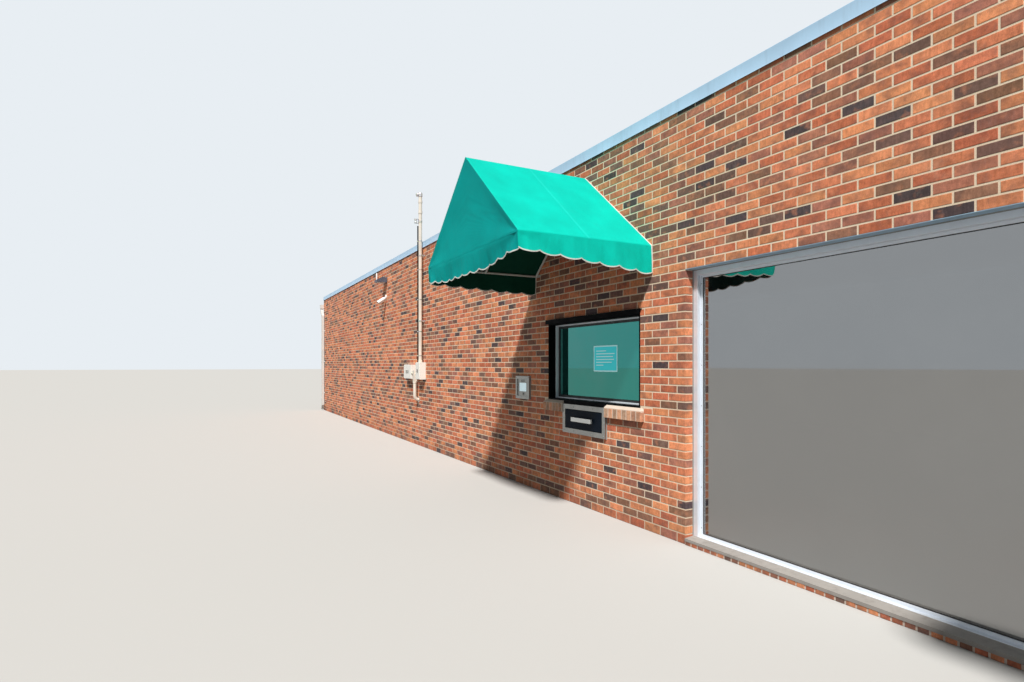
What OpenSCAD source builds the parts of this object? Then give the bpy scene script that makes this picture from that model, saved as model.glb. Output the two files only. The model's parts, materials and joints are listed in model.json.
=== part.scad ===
// Corner shop building with a drive-up teller window, a deal drawer and gable awnings.
// Millimetres, +Z up. The origin is the centre of the footprint at ground level.
// The drive side wall faces -Y, the street wall faces +X.

/* [Building] */
// Length of the drive side wall
building_l = 21946; // [21000:1:24000]
// Width of the street wall
building_w = 9144; // [8600:1:12000]
// Height of the brick walls above the ground
wall_h = 3600; // [3500:1:4200]
// Thickness of the walls
wall_t = 300; // [260:1:400]
// Height of the floor slab above the ground
slab_h = 100; // [80:1:150]

/* [Roof] */
// Height of the ceiling, the underside of the roof deck
ceiling_z = 3180; // [2900:1:3200]
// Height of the roof surface along the street wall
roof_high_z = 3560; // [3500:1:3580]
// Height of the roof surface along the rear wall
roof_low_z = 3420; // [3300:1:3450]
// Height of the metal coping's face
coping_h = 110; // [90:1:180]
// Distance that the coping's face hangs below the top of the wall
coping_drop = 40; // [30:1:60]
// Distance that the coping's roof side hangs below the top of the wall
coping_roof_drop = 25; // [15:1:30]
// Distance that the coping stands out from the wall
coping_overhang = 15; // [10:1:45]
// Thickness of the coping metal
coping_t = 3; // [2:0.5:5]
// Distance that the timber under the coping is set back from the wall face
blocking_inset = 10; // [5:1:40]
// Height of the rear gutter
gutter_h = 125; // [90:1:150]
// Width of the rear gutter, front to back
gutter_w = 130; // [110:1:180]
// Thickness of the gutter metal
gutter_t = 3; // [2:0.5:5]
// Width of the downspout along the wall
downspout_w = 100; // [70:1:110]
// Depth of the downspout out from the wall
downspout_d = 75; // [60:1:90]
// Thickness of the downspout metal
downspout_t = 3; // [2:0.5:5]

/* [Plate windows] */
// Width of a plate-glass window opening
plate_w = 2845; // [2400:1:3000]
// Height of the window heads and the entrance head
head_z = 2250; // [2100:1:2300]
// Distance of the drive side plate window's centre line from the street wall
plate_c = 4303; // [4250:1:4350]
// Distance of each street window's centre line from the middle of the street wall
street_window_c = 1998; // [1750:1:2300]
// Height of the brick sill course under the plate windows
base_sill_h = 58; // [45:1:90]
// Drop of the sill course's sloped top, from the frame to its front edge
base_sill_fall = 9; // [0:1:30]
// Distance that the sill course stands out from the wall
base_sill_out = 8; // [0:1:40]
// Height of the underside of the plate window frames, behind the sill course
frame_z = 15; // [5:1:40]
// Distance from the wall face back to the window frames
frame_setback = 86; // [60:1:110]
// Width of the frame members seen from outside
frame_face = 50; // [35:1:70]
// Depth of the frame members
frame_d = 114; // [100:1:130]
// Width of the glazing stop inside a frame
stop_w = 20; // [12:1:30]
// Distance from the frame's face back to its glazing stop
stop_setback = 34; // [20:1:50]
// Thickness of the glass
glass_t = 10; // [6:1:16]
// Distance that a pane reaches into its glazing stop
glass_bite = 10; // [6:1:11]

/* [Teller window] */
// Width of the teller window opening
teller_w = 1590; // [1500:1:1700]
// Distance of the teller window's centre line from the street wall
teller_c = 7082; // [7060:1:7100]
// Height of the teller window's sill
teller_sill_z = 1077; // [1065:1:1120]
// Height of the teller window's head
teller_head_z = 1964; // [1850:1:2050]
// Thickness of the black lining round the reveal
lining_t = 15; // [10:1:25]
// Thickness of the black lining at the head
lining_head_t = 48; // [15:1:60]
// Thickness of the lining's apron over the drawer
apron_t = 6; // [4:1:12]
// Width of the thin window frame inside the lining
teller_face = 14; // [12:1:45]
// Distance that the steel lintel reaches past each side of the opening
lintel_past = 20; // [10:1:60]
// Thickness of the lintel plate
lintel_t = 10; // [8:1:14]
// Depth of the lintel plate
lintel_d = 90; // [60:1:100]
// Distance that the lintel's drip cap stands out from the wall
cap_out = 28; // [15:1:50]
// Height of the drip cap
cap_h = 48; // [30:1:60]
// Thickness of the drip cap's metal
cap_t = 4; // [3:0.5:8]
// Height of the brick sill's face
sill_h = 120; // [100:1:140]
// Distance that the brick sill stands out from the wall
sill_out = 40; // [25:1:60]
// Distance that the brick sill reaches past each side of the opening
sill_past = 52; // [45:1:150]
// Radius of the sill's upper end corners
sill_corner_r = 36; // [20:1:45]
// Drop of the brick sill's sloped top
sill_fall = 22; // [10:1:40]

/* [Deal drawer] */
// Distance of the drawer's centre line from the street wall
drawer_c = 7163; // [7140:1:7180]
// Height of the drawer's centre line
drawer_z = 894; // [880:1:900]
// Width of the drawer opening
drawer_open_w = 662; // [560:1:680]
// Height of the drawer opening
drawer_open_h = 205; // [180:1:212]
// Width of the steel trim round the drawer opening
trim_face = 50; // [30:1:55]
// Distance that the trim stands out from the wall
trim_t = 22; // [15:1:35]
// Thickness of the drawer housing's metal
housing_t = 5; // [4:1:8]
// Depth of the drawer housing, from the wall face inwards
housing_d = 480; // [450:1:560]
// Clear gap between the drawer and its housing
drawer_gap = 6; // [5:0.5:10]
// Thickness of the tray's metal
tray_t = 4; // [3:0.5:6]
// Thickness of the drawer's front panel
drawer_front_t = 20; // [14:1:22]
// Height of the tray's sides
tray_h = 110; // [80:1:130]
// Length of the tray behind its front panel
tray_l = 400; // [380:1:430]
// Width of the flange of a runner
runner_w = 22; // [16:1:30]
// Thickness of a runner
runner_t = 4; // [3:0.5:6]
// Running clearance between the drawer's slide bars and the runners
runner_gap = 0.3; // [0.2:0.05:0.5]
// Length of the pull bar
pull_l = 356; // [250:1:380]
// Height of the pull bar
pull_h = 43; // [30:1:50]

/* [Speaker plate] */
// Distance of the speaker plate's centre line from the street wall
speaker_c = 8454; // [8300:1:8600]
// Height of the speaker plate's centre
speaker_z = 1190; // [1100:1:1300]
// Width of the speaker plate
speaker_w = 338; // [250:1:360]
// Height of the speaker plate
speaker_h = 277; // [240:1:320]
// Distance that the speaker plate stands out from the wall
speaker_t = 25; // [16:1:40]
// Width of the rim round the speaker plate
speaker_rim = 34; // [20:1:40]
// Depth of the speaker plate's recess
speaker_recess = 12; // [6:1:14]
// Radius of the knob under the card
knob_r = 14; // [8:1:16]

/* [Awnings] */
// Width of an awning
awning_w = 2032; // [1900:1:2120]
// Distance that an awning stands out from the wall
awning_out = 1346; // [1100:1:1500]
// Height of the awning eaves
eave_z = 2515; // [2480:1:2600]
// Height of the awning ridge
ridge_z = 3390; // [3200:1:3450]
// Drop of the valance below the eaves, lobes included
valance_h = 205; // [150:1:230]
// Depth of the scallops in the valance
scallop_h = 22; // [12:1:30]
// Number of scallops along the front
front_scallops = 11; // [9:1:12]
// Number of scallops along each side
side_scallops = 7; // [5:1:8]
// Thickness of the awning cover
cover_t = 6; // [4:1:8]
// Distance from the teller window's centre line to the awning's
awning_shift = 56; // [0:1:60]
// Diameter of the awning's frame tubes
tube_d = 25; // [20:1:34]

/* [Entrance] */
// Distance of the entrance's centre line from the street wall
entrance_c = 1524; // [1500:1:1560]
// Width of the entrance opening
entrance_w = 1590; // [1500:1:1700]
// Width of the door leaf
door_w = 914; // [800:1:940]
// Width of the door's stiles and top rail
door_stile = 90; // [60:1:110]
// Height of the door's bottom rail
door_kick = 180; // [150:1:260]
// Thickness of the door leaf
door_t = 45; // [35:1:55]
// Depth of the rebate that a door shuts against
door_rebate = 14; // [10:1:18]
// Gap round a door leaf
door_gap = 3; // [2:0.5:5]
// Length of the door pull
door_pull_l = 300; // [200:1:400]

/* [Service door] */
// Width of the rear door opening
rear_door_w = 1000; // [950:1:1100]
// Distance of the rear door from the middle of the rear wall, towards the drive
rear_door_c = 2400; // [1500:1:3000]

/* [Service mast] */
// Distance of the service mast from the street wall
mast_c = 12154; // [11900:1:12400]
// Distance of the mast's axis from the wall face
mast_out = 64; // [62:1:80]
// Diameter of the mast
mast_d = 60.3; // [48:0.1:62]
// Height of the mast's top
mast_top_z = 4460; // [4300:1:4800]
// Width of the meter box
meter_w = 213; // [190:1:240]
// Depth of the meter box
meter_d = 120; // [112:1:140]
// Height of the meter box
meter_h = 304; // [250:1:340]
// Height of the meter box's underside
meter_z = 1207; // [1180:1:1240]
// Width of the junction box
junction_w = 420; // [280:1:440]
// Depth of the junction box
junction_d = 100; // [80:1:120]
// Height of the junction box
junction_h = 264; // [220:1:300]
// Distance between the two boxes
box_gap = 330; // [300:1:460]
// Depth of the doors on the two boxes
box_door_t = 10; // [6:1:20]
// Distance from a box's edge to its door's edge
box_door_inset = 8; // [4:1:20]
// Diameter of the conduit between the boxes
conduit_d = 42; // [30:1:48]
// Diameter of the pipe that drops from the conduit fitting
drop_d = 60; // [48:1:64]
// Bend radius of the pipe where it turns into the wall
drop_bend_r = 75; // [60:1:90]
// Height at which the pipe enters the wall
drop_wall_z = 830; // [600:1:950]
// Diameter of the slim conduit beside the mast
slim_d = 22; // [16:1:22]
// Height of the lower mast strap
low_strap_z = 2235; // [1800:1:2500]
// Height of the upper mast strap
high_strap_z = 3400; // [3000:1:3450]
// Distance of the insulator clamp's underside below the mast's top
insulator_drop = 460; // [440:1:600]

/* [Wall fittings] */
// Distance of the wall light and the camera from the street wall
light_c = 14580; // [14200:1:14900]
// Height of the wall light's underside
light_z = 3230; // [3000:1:3300]
// Width of the wall light
light_w = 200; // [150:1:260]
// Distance that the wall light stands out from the wall
light_out = 230; // [180:1:280]
// Height of the wall light
light_h = 112; // [90:1:140]
// Height of the security camera's centre
camera_z = 2840; // [2700:1:3000]
// Diameter of the security camera
camera_d = 85; // [70:1:100]
// Length of the security camera
camera_l = 150; // [130:1:180]

/* [Hidden] */
$fn = 48;
cut = 5;
seat_gap = 0.3;
y_drive = -building_w / 2;
x_street = building_l / 2;
coping_z = wall_h - coping_drop;
blocking_h = coping_h - coping_drop - coping_t;
teller_h = teller_head_z - teller_sill_z;
trim_w = drawer_open_w + 2 * trim_face;
trim_h = drawer_open_h + 2 * trim_face;
entrance_h = head_z - slab_h;
valance_z = eave_z - valance_h;
cusp_z = valance_z + scallop_h;
teller_awning_c = teller_c + awning_shift;
entrance_awning_c = entrance_c - awning_shift;
junction_c = mast_c + meter_w / 2 + box_gap + junction_w / 2;
insulator_z = mast_top_z - insulator_drop;

// Each of these places its children on a wall: x along the wall, y = 0 at its outer face
// and +y into the building, z up from the ground.
module on_drive_wall(from_street) {
    translate([x_street - from_street, y_drive, 0]) children();
}

module on_lot_wall(from_street) {
    translate([x_street - from_street, -y_drive, 0]) rotate(180) children();
}

module on_street_wall(from_middle) {
    translate([x_street, from_middle, 0]) rotate(90) children();
}

module on_rear_wall(from_middle) {
    translate([-x_street, from_middle, 0]) rotate(-90) children();
}

// A box centred on x, from y and z upwards.
module centred_box(w, d, h, y = 0, z = 0) {
    translate([-w / 2, y, z]) cube([w, d, h]);
}

// A hole through a wall from z1 to z2.
module wall_hole(w, z1, z2) {
    centred_box(w, wall_t + 2 * cut, z2 - z1, -cut, z1);
}

// A rectangular ring: an outer size, the width of its members, and its depth.
module ring(w, h, face, d, y = 0) {
    translate([0, y, 0]) difference() {
        centred_box(w, d, h);
        centred_box(w - 2 * face, d + 2 * cut, h - 2 * face, -cut, face);
    }
}

// A profile in the X-Z plane, extruded along +Y from y.
module along_y(y, l) {
    translate([0, y + l, 0]) rotate([90, 0, 0]) linear_extrude(l) children();
}

// A profile in the Y-Z plane, extruded along +X from x.
module along_x(x, l) {
    translate([x, 0, 0]) rotate([90, 0, 90]) linear_extrude(l) children();
}

// A round bar from one point to another.
module bar(a, b, d) {
    v = b - a;
    l = norm(v);
    translate(a) rotate([0, acos(v[2] / l), atan2(v[1], v[0])]) cylinder(d = d, h = l);
}

// Glazed frame with one pane: the pane sits in a groove of the glazing stop.
module pane_in_stop(w, h, face) {
    centred_box(
        w - 2 * (face + stop_w - glass_bite), glass_t, h - 2 * (face + stop_w - glass_bite),
        frame_setback + stop_setback + glass_t, face + stop_w - glass_bite
    );
}

module glazed_frame(w, h, face) {
    difference() {
        union() {
            ring(w, h, face, frame_d, frame_setback);
            translate([0, 0, face])
                ring(w - 2 * face, h - 2 * face, stop_w, 3 * glass_t, frame_setback + stop_setback);
        }
        pane_in_stop(w, h, face);
    }
}

// Brick walls with their openings cut through
module plate_window_hole() {
    wall_hole(plate_w, -cut, head_z);
}

module drive_side_wall() {
    color("chocolate") difference() {
        translate([-x_street, y_drive, 0]) cube([building_l, wall_t, wall_h]);
        on_drive_wall(plate_c) plate_window_hole();
        on_drive_wall(entrance_c) wall_hole(entrance_w, -cut, head_z);
        on_drive_wall(teller_c) wall_hole(teller_w, teller_sill_z, teller_head_z);
        on_drive_wall(teller_c) lintel_plate();
        sill_bed();
        on_drive_wall(drawer_c) housing_hole();
    }
}

module lot_side_wall() {
    color("chocolate") difference() {
        translate([-x_street, -y_drive - wall_t, 0]) cube([building_l, wall_t, wall_h]);
        on_lot_wall(plate_c) plate_window_hole();
    }
}

module street_wall() {
    color("chocolate") difference() {
        translate([x_street - wall_t, y_drive + wall_t, 0]) cube([wall_t, building_w - 2 * wall_t, wall_h]);
        for (side = [-1, 1]) on_street_wall(side * street_window_c) plate_window_hole();
    }
}

module rear_wall() {
    color("chocolate") difference() {
        translate([-x_street, y_drive + wall_t, 0]) cube([wall_t, building_w - 2 * wall_t, ceiling_z]);
        on_rear_wall(-rear_door_c) wall_hole(rear_door_w, -cut, head_z);
    }
}

module floor_slab() {
    color("gray") translate([-x_street + wall_t, y_drive + wall_t, 0])
        cube([building_l - 2 * wall_t, building_w - 2 * wall_t, slab_h]);
}

// Roof deck with a flat ceiling and a top that falls to the rear gutter
module roof_deck() {
    color("dimgray") along_y(y_drive + wall_t, building_w - 2 * wall_t) polygon([
        [-x_street, ceiling_z], [x_street - wall_t, ceiling_z],
        [x_street - wall_t, roof_high_z], [-x_street, roof_low_z]
    ]);
}

module roof_edge_blocking() {
    w = wall_t - 2 * blocking_inset;
    color("darkslategray") difference() {
        translate([-x_street, y_drive + blocking_inset, wall_h])
            cube([building_l - blocking_inset, building_w - 2 * blocking_inset, blocking_h]);
        translate([-x_street - cut, y_drive + blocking_inset + w, wall_h - cut]) cube([
            building_l - blocking_inset - w + cut, building_w - 2 * (blocking_inset + w),
            blocking_h + 2 * cut
        ]);
    }
}

// Coping: a bent metal channel over the timber, mitred where two lengths meet at a street corner.
// Plans of its top, or of the hollow under it, t inside its outer faces and longer by past at a mitre
module long_coping_plan(t, past = 0) {
    out = coping_overhang - t;
    polygon([
        [-x_street - out, y_drive - out], [x_street + out + past, y_drive - out],
        [x_street - wall_t - out + past, y_drive + wall_t + out], [-x_street - out, y_drive + wall_t + out]
    ]);
}

module street_coping_plan(t, past = 0) {
    x = x_street + coping_overhang - t;
    w = wall_t + 2 * (coping_overhang - t);
    y = -y_drive + coping_overhang - t + past;
    polygon([[x, -y], [x, y], [x - w, y - w], [x - w, w - y]]);
}

// The roof side is shorter than the face, so what hangs lower there is cut away.
module long_coping() {
    difference() {
        translate([0, 0, coping_z]) linear_extrude(coping_h) long_coping_plan(0);
        translate([0, 0, coping_z - cut]) linear_extrude(coping_h - coping_t + cut)
            long_coping_plan(coping_t, cut);
        translate([-x_street - coping_overhang - cut, y_drive + wall_t / 2, coping_z - cut])
            cube([building_l + 2 * (coping_overhang + cut), wall_t, coping_drop - coping_roof_drop + cut]);
    }
}

module drive_side_coping() {
    color("lightsteelblue") long_coping();
}

module lot_side_coping() {
    color("lightsteelblue") mirror([0, 1, 0]) long_coping();
}

module street_coping() {
    color("lightsteelblue") difference() {
        translate([0, 0, coping_z]) linear_extrude(coping_h) street_coping_plan(0);
        translate([0, 0, coping_z - cut]) linear_extrude(coping_h - coping_t + cut)
            street_coping_plan(coping_t, cut);
        translate([x_street - 3 * wall_t / 2, y_drive, coping_z - cut])
            cube([wall_t, building_w, coping_drop - coping_roof_drop + cut]);
    }
}

// Gutter along the rear eave, open at the top, with an outlet length past the drive corner
gutter_x = -x_street - gutter_w;
gutter_end_gap = 15;
gutter_past = downspout_d + 2 * gutter_end_gap;
module rear_gutter() {
    lip = 18;
    belly = 30;
    outer = [[gutter_w, 0], [gutter_w, gutter_h], [0, gutter_h], [0, gutter_h - lip], [belly, 0]];
    inner = [
        [gutter_w - gutter_t, gutter_t], [gutter_w - gutter_t, gutter_h + cut], [gutter_t, gutter_h + cut],
        [gutter_t, gutter_h - lip], [belly + gutter_t, gutter_t]
    ];
    l = building_w + 2 * gutter_past;
    color("white") translate([gutter_x, 0, roof_low_z - gutter_h]) difference() {
        along_y(-l / 2, l) polygon(outer);
        along_y(-l / 2 + gutter_t, l - 2 * gutter_t) polygon(inner);
    }
}

// Outline of a bent pipe: a path moved sideways to both sides, with mitred corners.
function unit(v) = v / norm(v);
function side_of(a, b) = let (t = unit(b - a)) [-t[1], t[0]];
function mitre(p, i) =
    let (
        before = side_of(p[max(i - 1, 0)], p[max(i, 1)]),
        after = side_of(p[min(i, len(p) - 2)], p[min(i + 1, len(p) - 1)]),
        m = unit(before + after)
    ) m / (m * before);
function path_outline(p, half) = concat(
    [for (i = [0:len(p) - 1]) p[i] + half * mitre(p, i)],
    [for (i = [len(p) - 1:-1:0]) p[i] - half * mitre(p, i)]
);

// Downspout: out of the gutter, round the corner by two elbows, down the drive side wall
spout_foot_z = 60;
module downspout() {
    from_corner = 110;
    outlet = 60;
    elbow_rise = 190;
    foot_rise = 130;
    foot_out = 90;
    x_top = gutter_x + gutter_w / 2;
    x_wall = -x_street + from_corner;
    top_z = roof_low_z - gutter_h;
    path = [
        [x_top, top_z], [x_top, top_z - outlet], [x_wall, top_z - outlet - elbow_rise],
        [x_wall, spout_foot_z + foot_rise], [x_wall - foot_out, spout_foot_z]
    ];
    y = y_drive - gutter_past + gutter_end_gap;
    color("white") difference() {
        along_y(y, downspout_d) polygon(path_outline(path, downspout_w / 2));
        along_y(y + downspout_t, downspout_d - 2 * downspout_t)
            polygon(path_outline(path, downspout_w / 2 - downspout_t));
    }
}

// Plate windows
// The sill course stands in front of the frame's foot, carries it, and steps up to the floor behind.
module plate_window_sill() {
    behind = frame_setback + frame_d;
    along_x(-plate_w / 2, plate_w) polygon([
        [-base_sill_out, 0], [wall_t, 0], [wall_t, slab_h], [behind, slab_h], [behind, frame_z],
        [frame_setback, frame_z], [frame_setback, base_sill_h],
        [-base_sill_out, base_sill_h - base_sill_fall]
    ]);
}

module plate_window_sills() {
    color("sienna") {
        on_drive_wall(plate_c) plate_window_sill();
        on_lot_wall(plate_c) plate_window_sill();
        for (side = [-1, 1]) on_street_wall(side * street_window_c) plate_window_sill();
    }
}

module plate_window_frame() {
    translate([0, 0, frame_z]) glazed_frame(plate_w, head_z - frame_z, frame_face);
}

module plate_window_pane() {
    translate([0, 0, frame_z]) pane_in_stop(plate_w, head_z - frame_z, frame_face);
}

module drive_window_frame() {
    color("gainsboro") on_drive_wall(plate_c) plate_window_frame();
}

module drive_window_glass() {
    color("lightblue", 0.4) on_drive_wall(plate_c) plate_window_pane();
}

module street_window_frames() {
    color("gainsboro") for (side = [-1, 1]) on_street_wall(side * street_window_c) plate_window_frame();
}

module street_window_glass() {
    color("lightblue", 0.4) for (side = [-1, 1]) on_street_wall(side * street_window_c) plate_window_pane();
}

module lot_window_frame() {
    color("gainsboro") on_lot_wall(plate_c) plate_window_frame();
}

module lot_window_glass() {
    color("lightblue", 0.4) on_lot_wall(plate_c) plate_window_pane();
}

// Teller window: lintel with a drip cap, black lining, thin frame, pane and a brick sill in two lengths
teller_frame_z = teller_sill_z + lining_t;
teller_frame_w = teller_w - 2 * lining_t;
teller_frame_h = teller_h - lining_t - lining_head_t;

module lintel_plate() {
    centred_box(teller_w + 2 * lintel_past, lintel_d, lintel_t, 0, teller_head_z);
}

module teller_lintel() {
    l = teller_w + 2 * lintel_past;
    top = teller_head_z + lintel_t;
    color("black") on_drive_wall(teller_c) along_x(-l / 2, l) polygon([
        [lintel_d, teller_head_z], [lintel_d, top], [-cap_out, top], [-cap_out, top - cap_h],
        [cap_t - cap_out, top - cap_h], [cap_t - cap_out, teller_head_z]
    ]);
}

// The lining's apron covers the wall between the window and the drawer trim.
module teller_reveal_lining() {
    trim_top = drawer_z + trim_h / 2;
    d = frame_setback + frame_d;
    color("black") {
        on_drive_wall(teller_c) difference() {
            centred_box(teller_w, d, teller_h, 0, teller_sill_z);
            centred_box(teller_frame_w, d + 2 * cut, teller_frame_h, -cut, teller_frame_z);
        }
        on_drive_wall(drawer_c)
            centred_box(trim_w, apron_t, teller_frame_z - trim_top, -apron_t, trim_top);
    }
}

module teller_window_frame() {
    color("silver") on_drive_wall(teller_c) translate([0, 0, teller_frame_z])
        glazed_frame(teller_frame_w, teller_frame_h, teller_face);
}

module teller_window_glass() {
    color("darkgreen", 0.5) on_drive_wall(teller_c) translate([0, 0, teller_frame_z])
        pane_in_stop(teller_frame_w, teller_frame_h, teller_face);
}

// The sill lies in a bed cut into the wall on each side of the drawer, and its top slopes outwards.
module sill_gap() {
    centred_box(trim_w, frame_setback + sill_out + 2 * cut, sill_h + 2 * cut,
        -sill_out - cut, teller_sill_z - sill_h - cut);
}

module sill_bed() {
    l = teller_w + 2 * sill_past;
    difference() {
        on_drive_wall(teller_c) centred_box(l, frame_setback, sill_h, 0, teller_sill_z - sill_h);
        on_drive_wall(drawer_c) sill_gap();
    }
}

module sill_profile() {
    polygon([
        [frame_setback, teller_sill_z - sill_h], [frame_setback, teller_sill_z],
        [0, teller_sill_z], [-sill_out, teller_sill_z - sill_fall], [-sill_out, teller_sill_z - sill_h]
    ]);
}

// What is cut off the upper corner of the sill's outer end, in front of the wall
module sill_corner_waste() {
    l = teller_w + 2 * sill_past;
    translate([l / 2 - sill_corner_r, teller_sill_z - sill_corner_r]) difference() {
        square(sill_corner_r + cut);
        circle(sill_corner_r);
    }
}

module teller_window_sill() {
    l = teller_w + 2 * sill_past;
    color("sienna") difference() {
        on_drive_wall(teller_c) along_x(-l / 2, l) sill_profile();
        on_drive_wall(drawer_c) sill_gap();
        for (side = [0, 1]) on_drive_wall(teller_c) mirror([side, 0, 0])
            along_y(-sill_out - cut, sill_out + cut) sill_corner_waste();
    }
}

// Deal drawer: trim, housing with runners, and the sliding tray
module housing_hole() {
    centred_box(drawer_open_w + 2 * housing_t, wall_t + 2 * cut, drawer_open_h + 2 * housing_t,
        -cut, drawer_z - drawer_open_h / 2 - housing_t);
}

module drawer_trim() {
    color("silver") on_drive_wall(drawer_c) translate([0, 0, drawer_z - trim_h / 2])
        ring(trim_w, trim_h, trim_face, trim_t, -trim_t);
}

module drawer_housing() {
    color("dimgray") on_drive_wall(drawer_c) translate([0, 0, drawer_z - drawer_open_h / 2]) difference() {
        centred_box(drawer_open_w + 2 * housing_t, housing_d, drawer_open_h + 2 * housing_t, 0, -housing_t);
        centred_box(drawer_open_w, housing_d - housing_t + cut, drawer_open_h, -cut, 0);
    }
}

// The runners are angles on the housing's side walls, and the tray's slide bars rest on them.
drawer_w = drawer_open_w - 2 * drawer_gap;
drawer_h = drawer_open_h - 2 * drawer_gap;
tray_w = drawer_open_w - 2 * (runner_w + drawer_gap);
runner_z = drawer_z - tray_h / 4;
slide_bar_t = 8;
module drawer_runners() {
    from_front = trim_t + drawer_front_t;
    l = housing_d - housing_t - from_front;
    color("silver") on_drive_wall(drawer_c) for (side = [0, 1]) mirror([side, 0, 0])
        translate([drawer_open_w / 2 - runner_w, from_front, runner_z - runner_t]) {
            cube([runner_w, l, runner_t]);
            translate([runner_w - runner_t, 0, 0]) cube([runner_t, l, runner_w]);
        }
}

module deal_drawer() {
    y_front = -trim_t;
    y_tray = y_front + drawer_front_t;
    tray_z = drawer_z - drawer_h / 2;
    bar_out = runner_w - runner_t - drawer_gap / 2;
    color("black") on_drive_wall(drawer_c) {
        difference() {
            union() {
                centred_box(drawer_w, drawer_front_t, drawer_h, y_front, tray_z);
                centred_box(tray_w, tray_l, tray_h, y_tray, tray_z);
            }
            centred_box(tray_w - 2 * tray_t, tray_l - tray_t, tray_h, y_tray, tray_z + tray_t);
        }
        for (side = [0, 1]) mirror([side, 0, 0])
            translate([tray_w / 2, y_tray + cut, runner_z + runner_gap])
                cube([bar_out, tray_l - cut, slide_bar_t]);
    }
}

// Pull bar on two feet
module drawer_pull() {
    pull_t = 8;
    foot = 20;
    color("silver") on_drive_wall(drawer_c) translate([0, -trim_t, drawer_z - pull_h / 2]) {
        centred_box(pull_l, pull_t, pull_h, -foot - pull_t);
        for (side = [-1, 1]) translate([side * (pull_l / 2 - foot), 0, 0])
            centred_box(pull_t, foot, pull_h, -foot);
    }
}

// Speaker plate: a rimmed plate with a shallow recess and a knob
module speaker_plate() {
    color("darkgray") on_drive_wall(speaker_c) translate([0, 0, speaker_z]) {
        difference() {
            centred_box(speaker_w, speaker_t, speaker_h, -speaker_t, -speaker_h / 2);
            centred_box(speaker_w - 2 * speaker_rim, speaker_recess + cut, speaker_h - 2 * speaker_rim,
                -speaker_t - cut, speaker_rim - speaker_h / 2);
        }
        translate([0, speaker_recess - speaker_t, 2 * knob_r + speaker_rim - speaker_h / 2])
            rotate([90, 0, 0]) cylinder(r = knob_r, h = speaker_recess);
    }
}

// Awnings: a gable cover with a scalloped valance on a frame of tubes.
// House-shaped outline of the cover, t inside the outer surface
slope_rise = (ridge_z - eave_z) / (awning_w / 2);
slope_secant = sqrt(1 + slope_rise * slope_rise);
function roof_line_z(x, t) = ridge_z - t * slope_secant - abs(x) * slope_rise;
function cover_outline(t, bottom) =
    let (w = awning_w / 2 - t) [
        [-w, bottom], [-w, roof_line_z(w, t)], [0, roof_line_z(0, t)], [w, roof_line_z(w, t)], [w, bottom]
    ];

// A row of lobes that hang below the cusp line, centred on x
module scallops(l, count) {
    pitch = l / count;
    r = (pitch * pitch / 4 + scallop_h * scallop_h) / (2 * scallop_h);
    intersection() {
        for (i = [0:count - 1]) translate([-l / 2 + (i + 0.5) * pitch, valance_z + r]) circle(r, $fn = 96);
        translate([-l / 2, valance_z - scallop_h]) square([l, 2 * scallop_h]);
    }
}

module awning_cover() {
    difference() {
        along_y(-awning_out, awning_out) polygon(cover_outline(0, cusp_z));
        along_y(-awning_out + cover_t, awning_out) polygon(cover_outline(cover_t, cusp_z - cut));
    }
    along_y(-awning_out, cover_t) scallops(awning_w, front_scallops);
    for (side = [0, 1]) mirror([side, 0, 0])
        along_x(awning_w / 2 - cover_t, cover_t) translate([-awning_out / 2, 0])
            scallops(awning_out, side_scallops);
}

// Tubes lie just inside the cover: gables at the wall, at mid depth and at the front.
// Round fittings join them at the corners and seat on the cloth.
joint_t = 2.5;
joint_d = tube_d + 2 * joint_t;
module awning_frame() {
    in = cover_t + joint_d / 2 + seat_gap;
    eave_x = awning_w / 2 - in;
    tube_eave_z = roof_line_z(eave_x, in);
    tube_ridge_z = roof_line_z(0, in);
    y_wall = -joint_d / 2;
    y_front = -awning_out + in;
    for (y = [y_wall, (y_wall + y_front) / 2, y_front]) for (side = [-1, 1]) {
        bar([side * eave_x, y, tube_eave_z], [0, y, tube_ridge_z], tube_d);
        translate([side * eave_x, y, tube_eave_z]) sphere(d = joint_d);
    }
    for (y = [y_wall, (y_wall + y_front) / 2, y_front]) translate([0, y, tube_ridge_z]) sphere(d = joint_d);
    for (side = [-1, 1])
        bar([side * eave_x, y_front, tube_eave_z], [side * eave_x, y_wall, tube_eave_z], tube_d);
    bar([0, y_front, tube_ridge_z], [0, y_wall, tube_ridge_z], tube_d);
    bar([-eave_x, y_front, tube_eave_z], [eave_x, y_front, tube_eave_z], tube_d);
}

module teller_awning_cover() {
    color("mediumseagreen") on_drive_wall(teller_awning_c) awning_cover();
}

module teller_awning_frame() {
    color("lightgray") on_drive_wall(teller_awning_c) awning_frame();
}

module entrance_awning_cover() {
    color("mediumseagreen") on_drive_wall(entrance_awning_c) awning_cover();
}

module entrance_awning_frame() {
    color("lightgray") on_drive_wall(entrance_awning_c) awning_frame();
}

// Entrance: step, frame with a side light, glazed door with a pull
module entrance_step() {
    color("gray") on_drive_wall(entrance_c) centred_box(entrance_w, wall_t, slab_h);
}

door_h = entrance_h - frame_face;
door_x = entrance_w / 2 - frame_face - door_w / 2;
side_light_w = entrance_w - 3 * frame_face - door_w;
side_light_x = -entrance_w / 2 + frame_face + side_light_w / 2;
door_y = frame_setback + door_rebate;
module side_light_pane() {
    translate([side_light_x, frame_setback + frame_d / 2, frame_face - glass_bite])
        centred_box(side_light_w + 2 * glass_bite, glass_t, door_h - frame_face + 2 * glass_bite);
}

module door_leaf_space(gap) {
    translate([door_x, door_y, gap]) centred_box(door_w - 2 * gap, door_t, door_h - 2 * gap);
}

module door_pane() {
    translate([door_x, door_y + (door_t - glass_t) / 2, door_kick - glass_bite])
        centred_box(door_w - 2 * (door_gap + door_stile - glass_bite), glass_t,
            door_h - door_gap - door_kick - door_stile + 2 * glass_bite);
}

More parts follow.
